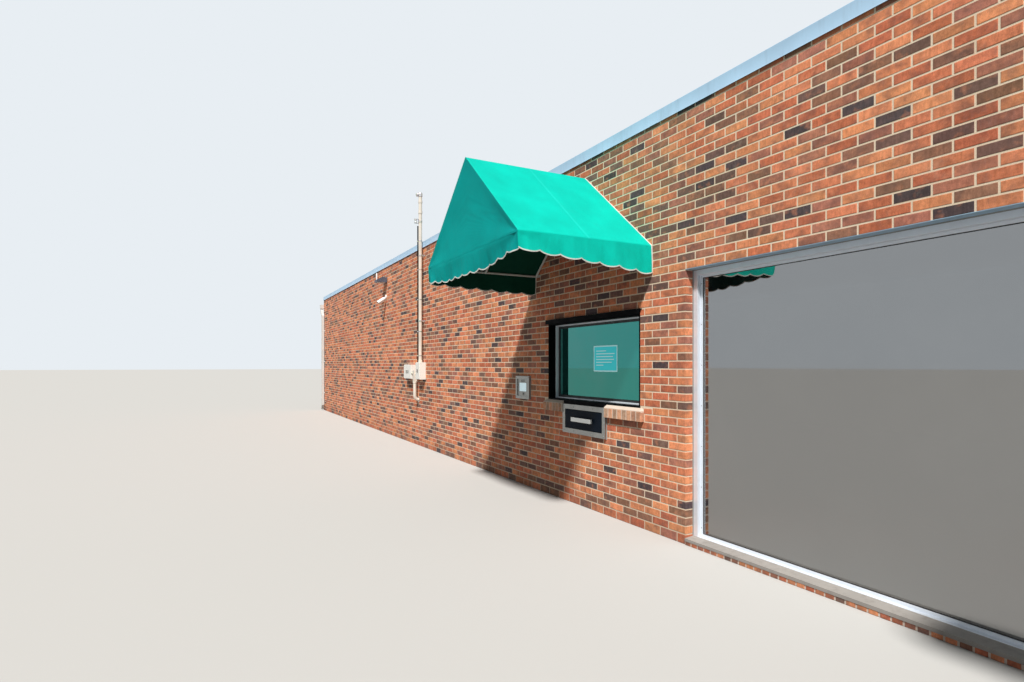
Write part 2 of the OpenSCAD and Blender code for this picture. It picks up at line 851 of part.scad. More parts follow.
module entrance_frame() {
    color("gainsboro") on_drive_wall(entrance_c) translate([0, 0, slab_h]) difference() {
        centred_box(entrance_w, frame_d, entrance_h, frame_setback);
        translate([side_light_x, 0, frame_face])
            centred_box(side_light_w, frame_setback + frame_d + cut, door_h - frame_face);
        translate([door_x, 0, -cut])
            centred_box(door_w - 2 * door_rebate, frame_setback + frame_d + cut, door_h - door_rebate + cut);
        translate([door_x, 0, -cut]) centred_box(door_w, door_y + door_t, door_h + cut);
        side_light_pane();
    }
}

module entrance_door() {
    color("gainsboro") on_drive_wall(entrance_c) translate([0, 0, slab_h]) difference() {
        door_leaf_space(door_gap);
        translate([door_x, door_y - cut, door_kick])
            centred_box(door_w - 2 * (door_gap + door_stile), door_t + 2 * cut,
                door_h - door_gap - door_kick - door_stile);
        door_pane();
    }
}

module entrance_glass() {
    color("lightblue", 0.4) on_drive_wall(entrance_c) translate([0, 0, slab_h]) {
        door_pane();
        side_light_pane();
    }
}

module entrance_pull() {
    pull_out = 60;
    pull_d = 25;
    handle_z = 1050;
    x = door_x - door_w / 2 + door_gap + door_stile / 2;
    y = door_y - pull_out;
    color("silver") on_drive_wall(entrance_c) {
        bar([x, y, handle_z - door_pull_l / 2], [x, y, handle_z + door_pull_l / 2], pull_d);
        for (side = [-1, 1]) translate([x, y, handle_z + side * (door_pull_l / 2 - pull_d)])
            rotate([-90, 0, 0]) cylinder(d = pull_d / 2, h = pull_out);
    }
}

// Service mast with its coupling rings, weatherhead, straps, boxes and conduits
module mast_ring(z, h, t) {
    translate([0, 0, z]) cylinder(d = mast_d + 2 * t, h = h);
}

module service_mast() {
    foot_z = meter_z + meter_h;
    ring_h = 40;
    ring_t = 6;
    ring_drops = [75, 265];
    color("lightgray") on_drive_wall(mast_c) translate([0, -mast_out, 0]) {
        translate([0, 0, foot_z]) cylinder(d = mast_d, h = mast_top_z - foot_z);
        mast_ring(foot_z, ring_h, ring_t);
        for (drop = ring_drops) mast_ring(mast_top_z - drop - ring_h, ring_h, ring_t);
    }
}

// A domed cap with a short hood that opens outwards
module mast_weatherhead() {
    head_past = 8;
    head_d = mast_d + 2 * head_past;
    head_h = 44;
    hood_l = 75;
    hood_tilt = 110;
    hood_share = 0.75;
    color("gray") on_drive_wall(mast_c) translate([0, -mast_out, mast_top_z]) {
        cylinder(d = head_d, h = head_h);
        translate([0, 0, head_h]) sphere(d = head_d);
        translate([0, 0, head_h]) rotate([hood_tilt, 0, 0]) cylinder(d = head_d * hood_share, h = hood_l);
    }
}

strap_t = 5;

// A strap round the mast, with two legs and two feet on the wall
module mast_strap() {
    strap_h = 25;
    foot = 30;
    w = mast_d + 2 * strap_t;
    difference() {
        union() {
            translate([0, -mast_out, 0]) cylinder(d = w, h = strap_h);
            centred_box(w, mast_out, strap_h, -mast_out);
        }
        translate([0, -mast_out, -cut]) cylinder(d = mast_d + 2 * seat_gap, h = strap_h + 2 * cut);
        centred_box(mast_d + 2 * seat_gap, mast_out + cut, strap_h + 2 * cut, -mast_out, -cut);
    }
    for (side = [-1, 1]) translate([side * (w + foot) / 2, 0, 0])
        centred_box(foot, strap_t, strap_h, -strap_t);
}

// A clamp round the mast that holds a spool insulator between two ears
module insulator_clamp() {
    clamp_h = 34;
    ear_l = 75;
    ear_w = 30;
    ear_t = 5;
    spool_h = 70;
    spool_d = 44;
    waist_d = 26;
    back_t = 6;
    y_ring = -mast_out - mast_d / 2 - strap_t;
    difference() {
        union() {
            translate([0, -mast_out, 0]) cylinder(d = mast_d + 2 * strap_t, h = clamp_h);
            translate([0, y_ring, (clamp_h - spool_h) / 2 - ear_t])
                centred_box(ear_w, back_t, spool_h + 2 * ear_t, -back_t / 2);
        }
        translate([0, -mast_out, -spool_h]) cylinder(d = mast_d + 2 * seat_gap, h = 3 * spool_h);
    }
    translate([0, y_ring, (clamp_h - spool_h) / 2]) {
        for (z = [-ear_t, spool_h]) centred_box(ear_w, ear_l, ear_t, -ear_l, z);
        translate([0, spool_d / 2 - ear_l, 0]) rotate_extrude() polygon([
            [0, 0], [spool_d / 2, 0], [spool_d / 2, spool_h / 4], [waist_d / 2, spool_h / 2],
            [spool_d / 2, 3 * spool_h / 4], [spool_d / 2, spool_h], [0, spool_h]
        ]);
    }
}

module mast_straps() {
    color("silver") on_drive_wall(mast_c) {
        for (z = [low_strap_z, high_strap_z]) translate([0, 0, z]) mast_strap();
        translate([0, 0, insulator_z]) insulator_clamp();
    }
}

// Slim conduit outside the straps, from the meter box up to the insulator
slim_gap = 2;
slim_off = (mast_d / 2 + strap_t + slim_gap + slim_d / 2) / sqrt(2);
module mast_slim_conduit() {
    foot_z = meter_z + meter_h;
    below_clamp = 60;
    top_z = insulator_z - below_clamp;
    color("black") on_drive_wall(mast_c) translate([-slim_off, -mast_out - slim_off, foot_z])
        cylinder(d = slim_d, h = top_z - foot_z);
}

// A box with a raised door, on the wall
module wall_box(w, d, h) {
    centred_box(w, d - box_door_t, h, box_door_t - d, meter_z);
    centred_box(w - 2 * box_door_inset, box_door_t, h - 2 * box_door_inset, -d, meter_z + box_door_inset);
}

module meter_box() {
    color("whitesmoke") on_drive_wall(mast_c) wall_box(meter_w, meter_d, meter_h);
}

module junction_box() {
    color("whitesmoke") on_drive_wall(junction_c) wall_box(junction_w, junction_d, junction_h);
}

// Conduit between the boxes, with a fitting and a pipe that drops and turns into the wall
module conduit_elbow() {
    fitting = [64, 60, 197];
    fitting_z = meter_z - 40;
    run_y = -60;
    run_z = meter_z + 100;
    collar_h = 30;
    collar_t = 6;
    bend_z = drop_wall_z + drop_bend_r;
    color("lightgray") on_drive_wall(mast_c + meter_w / 2 + box_gap / 2) {
        bar([-box_gap / 2, run_y, run_z], [box_gap / 2, run_y, run_z], conduit_d);
        centred_box(fitting[0], fitting[1], fitting[2], -drop_bend_r - fitting[1] / 2, fitting_z);
        translate([0, -drop_bend_r, bend_z]) cylinder(d = drop_d, h = fitting_z - bend_z);
        translate([0, -drop_bend_r, fitting_z - collar_h])
            cylinder(d = drop_d + 2 * collar_t, h = collar_h);
        translate([0, 0, bend_z]) rotate([90, 0, 90]) rotate(180)
            rotate_extrude(angle = 90) translate([drop_bend_r, 0]) circle(d = drop_d);
    }
}

// A hooded wall light with a sensor stem on its outer end
module wall_light() {
    plate_t = 12;
    plate_w = 120;
    plate_below = 4;
    peak = 0.45;
    rim = 0.4;
    stem_d = 24;
    stem_h = 190;
    color("dimgray") on_drive_wall(light_c) {
        centred_box(plate_w, plate_t, plate_w, -plate_t, light_z - plate_below);
        along_x(-light_w / 2, light_w) polygon([
            [-light_out, light_z], [-plate_t, light_z], [-plate_t, light_z + light_h * (1 - rim / 2)],
            [-light_out * peak, light_z + light_h], [-light_out, light_z + light_h * rim]
        ]);
        translate([0, stem_d - light_out, light_z]) cylinder(d = stem_d, h = stem_h);
    }
}

// The camera looks outwards and down from a short arm.
module security_camera() {
    base_d = 90;
    base_t = 20;
    arm_d = 26;
    arm_l = 100;
    arm_rise = 85;
    tilt = 35;
    hood_t = 5;
    hood_past = 22;
    color("white") on_drive_wall(light_c) {
        translate([0, 0, camera_z + arm_rise]) rotate([90, 0, 0]) cylinder(d = base_d, h = base_t);
        bar([0, -base_t / 2, camera_z + arm_rise], [0, -arm_l, camera_z], arm_d);
        translate([0, -arm_l, camera_z]) rotate([90 + tilt, 0, 0]) {
            translate([0, 0, -camera_l / 2]) cylinder(d = camera_d, h = camera_l);
            translate([0, 0, -camera_l / 2]) difference() {
                cylinder(d = camera_d + 2 * hood_t, h = camera_l + hood_past);
                translate([0, 0, -cut]) cylinder(d = camera_d - hood_t, h = camera_l + hood_past + 2 * cut);
                translate([-camera_d, -2 * camera_d, -cut])
                    cube([2 * camera_d, 2 * camera_d, camera_l + hood_past + 2 * cut]);
            }
        }
    }
}

// Service door in the rear wall
module rear_door_step() {
    color("gray") on_rear_wall(-rear_door_c) centred_box(rear_door_w, wall_t, slab_h);
}

rear_door_h = head_z - slab_h;
rear_leaf_w = rear_door_w - 2 * frame_face;
module rear_door_frame() {
    color("slategray") on_rear_wall(-rear_door_c) translate([0, 0, slab_h]) difference() {
        centred_box(rear_door_w, frame_d, rear_door_h, frame_setback);
        translate([0, 0, -cut]) centred_box(rear_leaf_w, door_y + door_t, rear_door_h - frame_face + cut);
        translate([0, 0, -cut]) centred_box(rear_leaf_w - 2 * door_rebate, frame_setback + frame_d + cut,
            rear_door_h - frame_face - door_rebate + cut);
    }
}

module rear_door() {
    color("slategray") on_rear_wall(-rear_door_c) translate([0, 0, slab_h + door_gap])
        centred_box(rear_leaf_w - 2 * door_gap, door_t, rear_door_h - frame_face - 2 * door_gap, door_y);
}

module rear_door_handle() {
    rose_d = 70;
    rose_t = 8;
    spindle_d = 24;
    knob_d = 55;
    knob_out = 60;
    from_edge = 75;
    above_floor = 1000;
    color("silver") on_rear_wall(-rear_door_c)
        translate([rear_leaf_w / 2 - from_edge, door_y, slab_h + above_floor]) rotate([90, 0, 0]) {
            cylinder(d = rose_d, h = rose_t);
            cylinder(d = spindle_d, h = knob_out);
            translate([0, 0, knob_out]) sphere(d = knob_d);
        }
}

floor_slab();
drive_side_wall();
street_wall();
lot_side_wall();
rear_wall();
roof_deck();
roof_edge_blocking();
drive_side_coping();
street_coping();
lot_side_coping();
rear_gutter();
downspout();
plate_window_sills();
drive_window_frame();
drive_window_glass();
street_window_frames();
street_window_glass();
lot_window_frame();
lot_window_glass();
teller_reveal_lining();
teller_lintel();
teller_window_frame();
teller_window_glass();
teller_window_sill();
drawer_trim();
drawer_housing();
drawer_runners();
deal_drawer();
drawer_pull();
speaker_plate();
teller_awning_cover();
teller_awning_frame();
entrance_awning_cover();
entrance_awning_frame();
entrance_step();
entrance_frame();
entrance_door();
entrance_glass();
entrance_pull();
service_mast();
mast_weatherhead();
mast_straps();
mast_slim_conduit();
meter_box();
junction_box();
conduit_elbow();
wall_light();
security_camera();
rear_door_step();
rear_door_frame();
rear_door();
rear_door_handle();
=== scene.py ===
"""Looks of the corner shop building: brickwork, cloth awnings, glass, metal and small fittings.

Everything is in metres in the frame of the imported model: +Z up, -Y out of the drive side wall,
+X out of the street wall, and the origin at the centre of the footprint at ground level.
"""

import itertools
import json
import math
from dataclasses import dataclass

import bmesh
import bpy
import numpy as np
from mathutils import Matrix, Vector


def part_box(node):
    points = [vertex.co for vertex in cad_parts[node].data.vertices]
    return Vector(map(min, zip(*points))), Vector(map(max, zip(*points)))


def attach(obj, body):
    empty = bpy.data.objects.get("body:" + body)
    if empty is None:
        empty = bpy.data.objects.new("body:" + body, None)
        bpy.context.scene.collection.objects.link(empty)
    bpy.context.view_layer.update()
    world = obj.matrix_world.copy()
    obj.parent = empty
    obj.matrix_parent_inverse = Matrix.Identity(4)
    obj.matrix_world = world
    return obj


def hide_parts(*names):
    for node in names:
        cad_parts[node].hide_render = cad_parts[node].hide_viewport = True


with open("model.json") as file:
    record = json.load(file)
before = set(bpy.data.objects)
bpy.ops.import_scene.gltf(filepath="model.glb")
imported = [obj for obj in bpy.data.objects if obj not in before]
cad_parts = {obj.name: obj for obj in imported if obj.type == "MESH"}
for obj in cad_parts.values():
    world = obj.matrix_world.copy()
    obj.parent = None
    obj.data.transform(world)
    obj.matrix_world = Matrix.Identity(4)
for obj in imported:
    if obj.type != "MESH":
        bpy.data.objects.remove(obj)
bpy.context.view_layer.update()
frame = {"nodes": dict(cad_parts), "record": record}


def srgb(red, green, blue):
    """A colour given as it is displayed, from 0 to 255, in linear light."""
    def linear(value):
        value /= 255
        return value / 12.92 if value <= 0.04045 else ((value + 0.055) / 1.055) ** 2.4
    return (linear(red), linear(green), linear(blue), 1.0)


def add_object(name, data, aim=None):
    """A new object in the scene. A camera or a lamp looks along aim."""
    made = bpy.data.objects.new(name, data)
    bpy.context.scene.collection.objects.link(made)
    if aim:
        made.rotation_mode = "QUATERNION"
        made.rotation_quaternion = aim.to_track_quat("-Z", "Y")
    return made


# Camera: its place and aim come from the brick courses' vanishing lines in the photograph
IMAGE_W, IMAGE_H = 1024, 682
FOCAL_PX = 587.7
HORIZON_PY = 364.75
CAMERA_AT = Vector((8.839, -8.062, 1.468))
CAMERA_AIM = Vector((-0.885, 0.4655, 0.0))
SENSOR_W = 36.0
FLOOR_SIZE = 400.0
SEEN_TO = 500.0


def make_camera():
    """A camera where the photograph's stood, with the same view."""
    data = bpy.data.cameras.new("camera")
    data.sensor_width = SENSOR_W
    data.lens = FOCAL_PX / IMAGE_W * SENSOR_W
    data.shift_y = (HORIZON_PY - IMAGE_H / 2) / IMAGE_W
    data.clip_end = SEEN_TO
    camera = add_object("camera", data, CAMERA_AIM)
    camera.location = CAMERA_AT
    bpy.context.scene.camera = camera


# Light: one soft key lamp and an even fill
KEY_DIRECTION = Vector((-0.47, 0.40, -0.78))
KEY_COLOUR = (1.0, 0.975, 0.94)
KEY_STRENGTH = 4.5
KEY_SPREAD = math.radians(5)
FILL_COLOUR = (0.93, 0.97, 1.0, 1.0)
FILL_STRENGTH = 0.20
BACKGROUND = srgb(232, 238, 243)
# The floor as it is seen, and as it sends light back, which keeps what faces down in shade
FLOOR_SEEN = srgb(200, 199, 196)
FLOOR_LIT = srgb(138, 137, 135)


def add_node(tree, kind, inputs=None, **settings):
    """A shader node. Each of its inputs is a value, or a socket that it is linked to."""
    node = tree.nodes.new("ShaderNode" + kind)
    for name, value in settings.items():
        setattr(node, name, value)
    for name, value in (inputs or {}).items():
        if isinstance(value, bpy.types.NodeSocket):
            tree.links.new(value, node.inputs[name])
        else:
            node.inputs[name].default_value = value
    return node


def seen_directly(tree):
    """A socket that is 1 for what the camera, a reflection or a see-through shows, and 0 for light."""
    path = add_node(tree, "LightPath").outputs
    value = path["Is Camera Ray"]
    for ray in ("Is Glossy Ray", "Is Transmission Ray"):
        value = add_node(tree, "Math", {0: value, 1: path[ray]}, operation="MAXIMUM").outputs[0]
    return value


def make_light():
    """The key lamp, and a world that fills the shade and is seen as a plain studio."""
    data = bpy.data.lights.new("key", "SUN")
    data.energy = KEY_STRENGTH
    data.angle = KEY_SPREAD
    data.color = KEY_COLOUR
    add_object("key", data, KEY_DIRECTION)
    world = bpy.data.worlds.new("studio")
    world.use_nodes = True
    bpy.context.scene.world = world
    tree = world.node_tree
    tree.nodes.clear()
    fill = add_node(tree, "Background", {"Color": FILL_COLOUR, "Strength": FILL_STRENGTH})
    seen = add_node(tree, "Background", {"Color": BACKGROUND})
    both = add_node(tree, "MixShader", {"Fac": seen_directly(tree), 1: fill.outputs[0], 2: seen.outputs[0]})
    add_node(tree, "OutputWorld", {"Surface": both.outputs[0]})


class Finish:
    """A material, with short calls for the texture nodes that the finishes here need."""

    def __init__(self, name, colour, roughness, metallic=0.0, **constants):
        self.material = bpy.data.materials.new(name)
        self.material.use_nodes = True
        self.tree = self.material.node_tree
        self.shader = self.tree.nodes["Principled BSDF"]
        constants.update(Base_Color=colour, Roughness=roughness, Metallic=metallic)
        for socket, value in constants.items():
            self.shader.inputs[socket.replace("_", " ")].default_value = value
        self.places = self.node("TexCoord").outputs["Object"]

    def node(self, kind, inputs=None, **settings):
        return add_node(self.tree, kind, inputs, **settings)

    def stretched(self, x, y, z):
        """The object's coordinates, each multiplied."""
        return self.node("Mapping", {"Vector": self.places, "Scale": (x, y, z)}).outputs["Vector"]

    def noise(self, size, detail=3.0, roughness=0.55, places=None):
        """Noise whose features are about size metres across."""
        inputs = {"Vector": places or self.places, "Scale": 1 / size,
                  "Detail": detail, "Roughness": roughness}
        return self.node("TexNoise", inputs).outputs["Fac"]

    def span(self, value, low, high, to_low=0.0, to_high=1.0):
        """The value, mapped from low..high and clamped."""
        inputs = {"Value": value, "From Min": low, "From Max": high, "To Min": to_low, "To Max": to_high}
        return self.node("MapRange", inputs).outputs["Result"]

    def math(self, operation, a, b):
        return self.node("Math", {0: a, 1: b}, operation=operation).outputs[0]

    def times(self, a, b):
        return self.math("MULTIPLY", a, b)

    def mix(self, factor, a, b, blend="MIX"):
        """Colours or sockets a and b, mixed by a factor or a socket."""
        return self.node("Mix", {"Factor": factor, 6: a, 7: b}, data_type="RGBA", blend_type=blend).outputs[2]

    def varied(self, value, low, high, a, b):
        """Colour a where the value is low and colour b where it is high."""
        return self.mix(self.span(value, low, high), a, b)

    def height(self):
        """Height above the ground, in metres."""
        return self.node("SeparateXYZ", {0: self.places}).outputs["Z"]

    def colour(self, socket):
        self.tree.links.new(socket, self.shader.inputs["Base Color"])

    def rough(self, socket):
        self.tree.links.new(socket, self.shader.inputs["Roughness"])

    def bump(self, heights, distance, strength=1.0):
        """The material, with surface relief of that depth in metres."""
        bump = self.node("Bump", {"Height": heights, "Distance": distance, "Strength": strength})
        self.tree.links.new(bump.outputs["Normal"], self.shader.inputs["Normal"])
        return self.material


def tinted(colour, factor):
    return tuple(min(1.0, value * factor) for value in colour[:3]) + (1.0,)


def brick_finish():
    """Face brick in the mix of colours that the mesh carries, each with flashes of its own."""
    f = Finish("brick", srgb(180, 120, 95), 0.88, Specular_IOR_Level=0.25)
    own = f.node("Attribute", attribute_name="brick_colour").outputs["Color"]
    # The brick's colour shifts the places, so that the noise starts afresh in each brick
    shifted = {0: own, 1: (37, 53, 41), 2: f.places}
    in_brick = f.node("VectorMath", shifted, operation="MULTIPLY_ADD").outputs[0]
    streaks = f.noise(0.011, 3, 0.6, f.stretched(1.0, 1.0, 0.18))
    smoke = f.math("ADD", f.noise(0.10, 3, 0.5, in_brick), f.times(streaks, 0.45))
    smoky = f.times(f.span(smoke, 0.68, 0.92), 0.72)
    colour = f.mix(smoky, own, f.mix(0.75, own, srgb(104, 82, 80)))
    warm = f.span(f.noise(0.08, 3, 0.5, f.stretched(1.0, 1.0, 1.3)), 0.55, 0.68)
    colour = f.mix(f.times(warm, 0.35), colour, srgb(224, 148, 112))
    # Clouds in each brick, specks, combed streaks and weather
    for shade, low, high, dark, light in (
        (f.noise(0.030, 5, 0.65, in_brick), 0.3, 0.7, (0.78, 0.77, 0.76, 1), (1.2, 1.18, 1.15, 1)),
        (f.noise(0.0035, 2), 0.35, 0.65, (0.86, 0.85, 0.84, 1), (1.1, 1.1, 1.1, 1)),
        (streaks, 0.36, 0.64, (0.86, 0.85, 0.84, 1), (1.13, 1.12, 1.11, 1)),
        (f.noise(1.4, 3), 0.3, 0.7, (0.93, 0.92, 0.91, 1), (1.06, 1.06, 1.06, 1)),
    ):
        colour = f.mix(1.0, colour, f.varied(shade, low, high, dark, light), "MULTIPLY")
    lime = f.times(f.span(f.noise(0.28, 5, 0.7), 0.6, 0.78), 0.22)
    colour = f.mix(lime, colour, srgb(222, 198, 176))
    splash = f.times(f.span(f.height(), 0.0, 0.3, 0.3, 0.0), f.span(f.noise(0.2, 4), 0.35, 0.6))
    f.colour(f.mix(splash, colour, srgb(105, 92, 80)))
    grooves = f.noise(0.006, 3, 0.6, f.stretched(1.6, 1.6, 0.35))
    return f.bump(f.math("ADD", grooves, f.times(f.noise(0.0022, 2, 0.7), 0.5)), 0.0016, 0.9)


def mortar_finish():
    f = Finish("mortar", srgb(244, 224, 198), 0.95, Specular_IOR_Level=0.2)
    patches = f.varied(f.noise(0.5, 4), 0.3, 0.7, srgb(240, 216, 188), srgb(248, 232, 208))
    sand = f.varied(f.noise(0.002, 2), 0.35, 0.65, (0.85, 0.84, 0.83, 1), (1.08, 1.08, 1.08, 1))
    colour = f.mix(1.0, patches, sand, "MULTIPLY")
    f.colour(f.mix(f.span(f.height(), 0.0, 0.35, 0.35, 0.0), colour, srgb(128, 112, 96)))
    return f.bump(f.noise(0.003, 3, 0.7), 0.0015)


def mineral_finish(name, colour, grain, patch=0.7, depth=0.001, spread=0.14):
    """Concrete, paint on block, and other dull mineral surfaces."""
    f = Finish(name, colour, 0.9, Specular_IOR_Level=0.25)
    dark, light = tinted(colour, 1 - spread), tinted(colour, 1 + spread)
    patches = f.varied(f.noise(patch, 5, 0.6), 0.3, 0.7, dark, light)
    f.colour(f.varied(f.noise(grain, 2), 0.3, 0.7, patches, f.mix(0.1, patches, (0, 0, 0, 1))))
    return f.bump(f.noise(grain, 3, 0.6), depth)


def roofing_finish():
    """Roof membrane in rolls 1 m wide, with lapped seams and dust."""
    f = Finish("roofing", srgb(168, 166, 160), 0.85, Specular_IOR_Level=0.3)
    rolls = {"Brick Width": 7.3, "Row Height": 1.0, "Mortar Size": 0.012, "Mortar Smooth": 0.2, "Scale": 1.0}
    seams = f.node("TexBrick", {"Vector": f.places, **rolls}).outputs["Fac"]
    dust = f.varied(f.noise(1.8, 6, 0.65), 0.3, 0.7, srgb(146, 143, 136), srgb(182, 180, 174))
    stains = f.times(f.span(f.noise(0.7, 5, 0.7), 0.55, 0.75), 0.4)
    dusty = f.mix(stains, dust, srgb(112, 108, 100))
    f.colour(f.mix(f.times(seams, 0.7), dusty, srgb(96, 94, 90)))
    return f.bump(f.math("SUBTRACT", f.times(f.noise(0.02, 4), 0.3), seams), 0.002)


def painted_finish(name, colour, roughness, wear, dirt, specular=0.5):
    """Paint on metal: slight orange peel, faded patches and dust."""
    f = Finish(name, colour, roughness, Specular_IOR_Level=specular)
    faded = f.varied(f.noise(0.35, 4), 0.3, 0.7, tinted(colour, 1 - wear), tinted(colour, 1 + wear))
    streaks = f.span(f.noise(0.05, 4, 0.6, f.stretched(1, 1, 0.12)), 0.5, 0.75)
    grime = f.mix(0.5, tinted(colour, 0.5), srgb(110, 102, 92))
    f.colour(f.mix(f.times(streaks, dirt), faded, grime))
    f.rough(f.span(f.noise(0.06, 4), 0.3, 0.7, roughness * 0.85, min(1.0, roughness * 1.25)))
    return f.bump(f.noise(0.004, 2), 0.00012)


def metal_finish(name, colour, roughness, dirt, metallic=0.9, grain=(1.0, 1.0, 1.0), spangled=0.0):
    """Bare metal, and sheets with a sheen: a fine grain, dull patches, and spangle on zinc."""
    f = Finish(name, colour, roughness, metallic)
    dull = f.span(f.noise(0.12, 5, 0.6), 0.45, 0.75)
    base = f.mix(f.times(dull, dirt), colour, tinted(colour, 0.55))
    if spangled:
        spangle = f.node("TexVoronoi", {"Vector": f.places, "Scale": 70}).outputs["Color"]
        base = f.mix(spangled, base, f.mix(1.0, base, spangle, "OVERLAY"))
    f.colour(base)
    lines = f.noise(0.0025, 2, 0.5, f.stretched(*grain))
    f.rough(f.span(lines, 0.3, 0.7, roughness * 0.8, min(1.0, roughness * 1.3)))
    return f.bump(lines, 0.00008)


def glass_finish(name, colour, alpha, ior, film=0.0):
    """Reflective glazing, drawn mostly opaque in its colour; the dark glass's colour is painted shade for the
    dim room behind it. Faint dust, and a mirror film of the colour.
    """
    f = Finish(name, colour, 0.015, film, Alpha=alpha, IOR=ior)
    dust = f.times(f.span(f.noise(0.6, 6, 0.7), 0.45, 0.8), 0.05)
    f.colour(f.mix(dust, colour, srgb(200, 200, 195)))
    f.rough(f.span(f.noise(0.9, 5, 0.7), 0.4, 0.8, 0.01, 0.05))
    return f.bump(f.noise(0.9, 1), 0.0006, 0.25)


def cloth_finish(name, colour):
    """Woven acrylic cloth: a plain weave with a thread each millimetre, faded patches and dust."""
    f = Finish(name, colour, 0.85, Specular_IOR_Level=0.12)
    thread = {"Vector": f.places, "Scale": 314, "Distortion": 0.4}
    x, y, z = (f.node("TexWave", thread, bands_direction=axis).outputs["Fac"] for axis in "XYZ")
    weave = f.times(f.math("ADD", x, y), z)
    faded = f.varied(f.noise(0.3, 5, 0.6), 0.3, 0.7, tinted(colour, 0.9), tinted(colour, 1.08))
    marks = f.times(f.span(f.noise(0.12, 6, 0.7), 0.6, 0.8), 0.22)
    dusty = f.mix(marks, faded, f.mix(0.25, tinted(colour, 0.7), srgb(120, 150, 130)))
    f.colour(f.mix(f.times(weave, 0.09), dusty, (0, 0, 0, 1)))
    return f.bump(weave, 0.00025)


# Each finish by its maker: the colour as displayed, then the maker's other values in their order
ALONG_X, ALONG_Z = (0.1, 1.0, 1.0), (0.15, 0.15, 1.0)
FINISHES = {"brick": brick_finish(), "mortar": mortar_finish(), "roofing": roofing_finish()}
for maker, table in (
    (mineral_finish, {
        "room_paint": ((150, 146, 138), 0.004, 0.7, 0.0005),
        "concrete": ((168, 163, 154), 0.006, 0.7, 0.0012),
        "timber": ((44, 42, 42), 0.01),
        "sealant": ((150, 152, 150), 0.003, 0.2, 0.0003),
        "sill_mortar": ((226, 208, 192), 0.003, 0.15, 0.0012, 0.08),
    }),
    (painted_finish, {
        "coping": ((178, 211, 238), 0.42, 0.07, 0.2),
        "rainware": ((226, 226, 222), 0.45, 0.05, 0.3),
        "sill_pan": ((164, 158, 152), 0.5, 0.1, 0.4, 0.3),
        "black_paint": ((10, 11, 13), 0.6, 0.2, 0.06, 0.03),
        # The drawer front's near-black navy is painted shade, the dark look of the front in shadow
        "drawer_black": ((12, 22, 34), 0.45, 0.15, 0.05, 0.05),
        "awning_tube": ((206, 208, 202), 0.35, 0.08, 0.3),
        "mast_paint": ((234, 224, 210), 0.45, 0.06, 0.35),
        "box_paint": ((246, 245, 238), 0.45, 0.04, 0.25),
        "light_paint": ((88, 94, 110), 0.45, 0.15, 0.3),
        "white_plastic": ((246, 246, 244), 0.35, 0.03, 0.15),
        "door_paint": ((120, 126, 130), 0.45, 0.1, 0.3),
        "rubber": ((20, 21, 23), 0.6, 0.15, 0.1),
        # The soffit's pale blue is painted sky reflection on pale paint
        "lintel_paint": ((160, 190, 212), 0.5, 0.06, 0.3),
        "lens": ((214, 218, 216), 0.25, 0.03, 0.1),
        "lens_dark": ((10, 11, 14), 0.08, 0.1, 0.0),
    }),
    (metal_finish, {
        "window_metal": ((228, 234, 242), 0.48, 0.12, 0.2, ALONG_Z),
        "steel_trim": ((150, 151, 148), 0.42, 0.35, 0.9, ALONG_X),
        "bright_steel": ((226, 228, 226), 0.4, 0.2, 0.5, ALONG_X),
        "galvanised": ((196, 194, 188), 0.5, 0.4, 0.9, (1, 1, 0.1), 0.25),
        "notice": ((66, 224, 232), 0.5, 0.05, 0.6),
        "notice_edge": ((196, 240, 242), 0.5, 0.05, 0.6),
        "card": ((224, 245, 252), 0.45, 0.05, 0.85),
    }),
    (glass_finish, {
        # The dark colour, drawn mostly opaque, is painted shade for the dim room seen through the glass
        "glass": ((22, 30, 32), 0.80, 4.0),
        "teller_glass": ((58, 150, 141), 0.94, 1.55, 0.8),
    }),
    (cloth_finish, {
        "awning_cloth": ((0, 204, 184),),
        # The cloth's faces turned to the front are the same cloth drawn darker, as painted shade
        "awning_front": ((0, 168, 164),),
        # The seams are drawn a lighter teal than the cloth, as painted highlight on their raised edges
        "awning_seam": ((24, 212, 194),),
        # The cloth's inside is drawn dark green as painted shade, for its shaded underside
        "awning_lining": ((8, 66, 50),),
        "awning_binding": ((232, 234, 228),),
    }),
):
    for name, (colour, *settings) in table.items():
        FINISHES[name] = maker(name, srgb(*colour), *settings)


def new_piece(name, mesh, finishes, stands_for=None):
    """A piece of the building: its mesh, the finishes of its faces, and the node that it replaces."""
    piece = add_object(name, mesh)
    for finish in finishes:
        mesh.materials.append(FINISHES[finish])
    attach(piece, "building")
    if stands_for:
        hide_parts(stands_for)
    return piece


def mesh_of(name, points, faces, finish=None, smooth_shaded=True):
    """A mesh, with the number of each face's finish where it has several."""
    mesh = bpy.data.meshes.new(name)
    mesh.from_pydata(np.asarray(points, float).tolist(), [], [list(map(int, face)) for face in faces])
    mesh.polygons.foreach_set("use_smooth", np.full(len(mesh.polygons), smooth_shaded, bool))
    if finish is not None:
        mesh.polygons.foreach_set("material_index", np.array(finish, np.int32))
    mesh.update()
    return mesh


def outward_mesh(name, points, faces, finish, crease=0.6):
    """A smooth mesh of closed solids whose faces all look outwards."""
    mesh = mesh_of(name, points, faces, finish)
    work = bmesh.new()
    work.from_mesh(mesh)
    bmesh.ops.recalc_face_normals(work, faces=work.faces)
    work.to_mesh(mesh)
    work.free()
    mesh.set_sharp_from_angle(angle=crease)
    return mesh


def tube_faces(rings, size, first=0):
    """Faces of a closed tube through rings of that many points, numbered from first."""
    last = first + (rings - 1) * size
    faces = [tuple(range(first, first + size)), tuple(range(last, last + size))]
    for start in range(first, last, size):
        for i in range(size):
            j = (i + 1) % size
            faces.append((start + i, start + j, start + size + j, start + size + i))
    return faces


def joined(parts):
    """The points and the faces of several parts as one."""
    starts = np.cumsum([0] + [len(points) for points, _ in parts])
    faces = [[v + start for v in face] for (_, part), start in zip(parts, starts) for face in part]
    return np.concatenate([points for points, _ in parts]), faces


# Brickwork
COURSE = 0.06773
MODULE = 0.2032
JOINT = 0.012
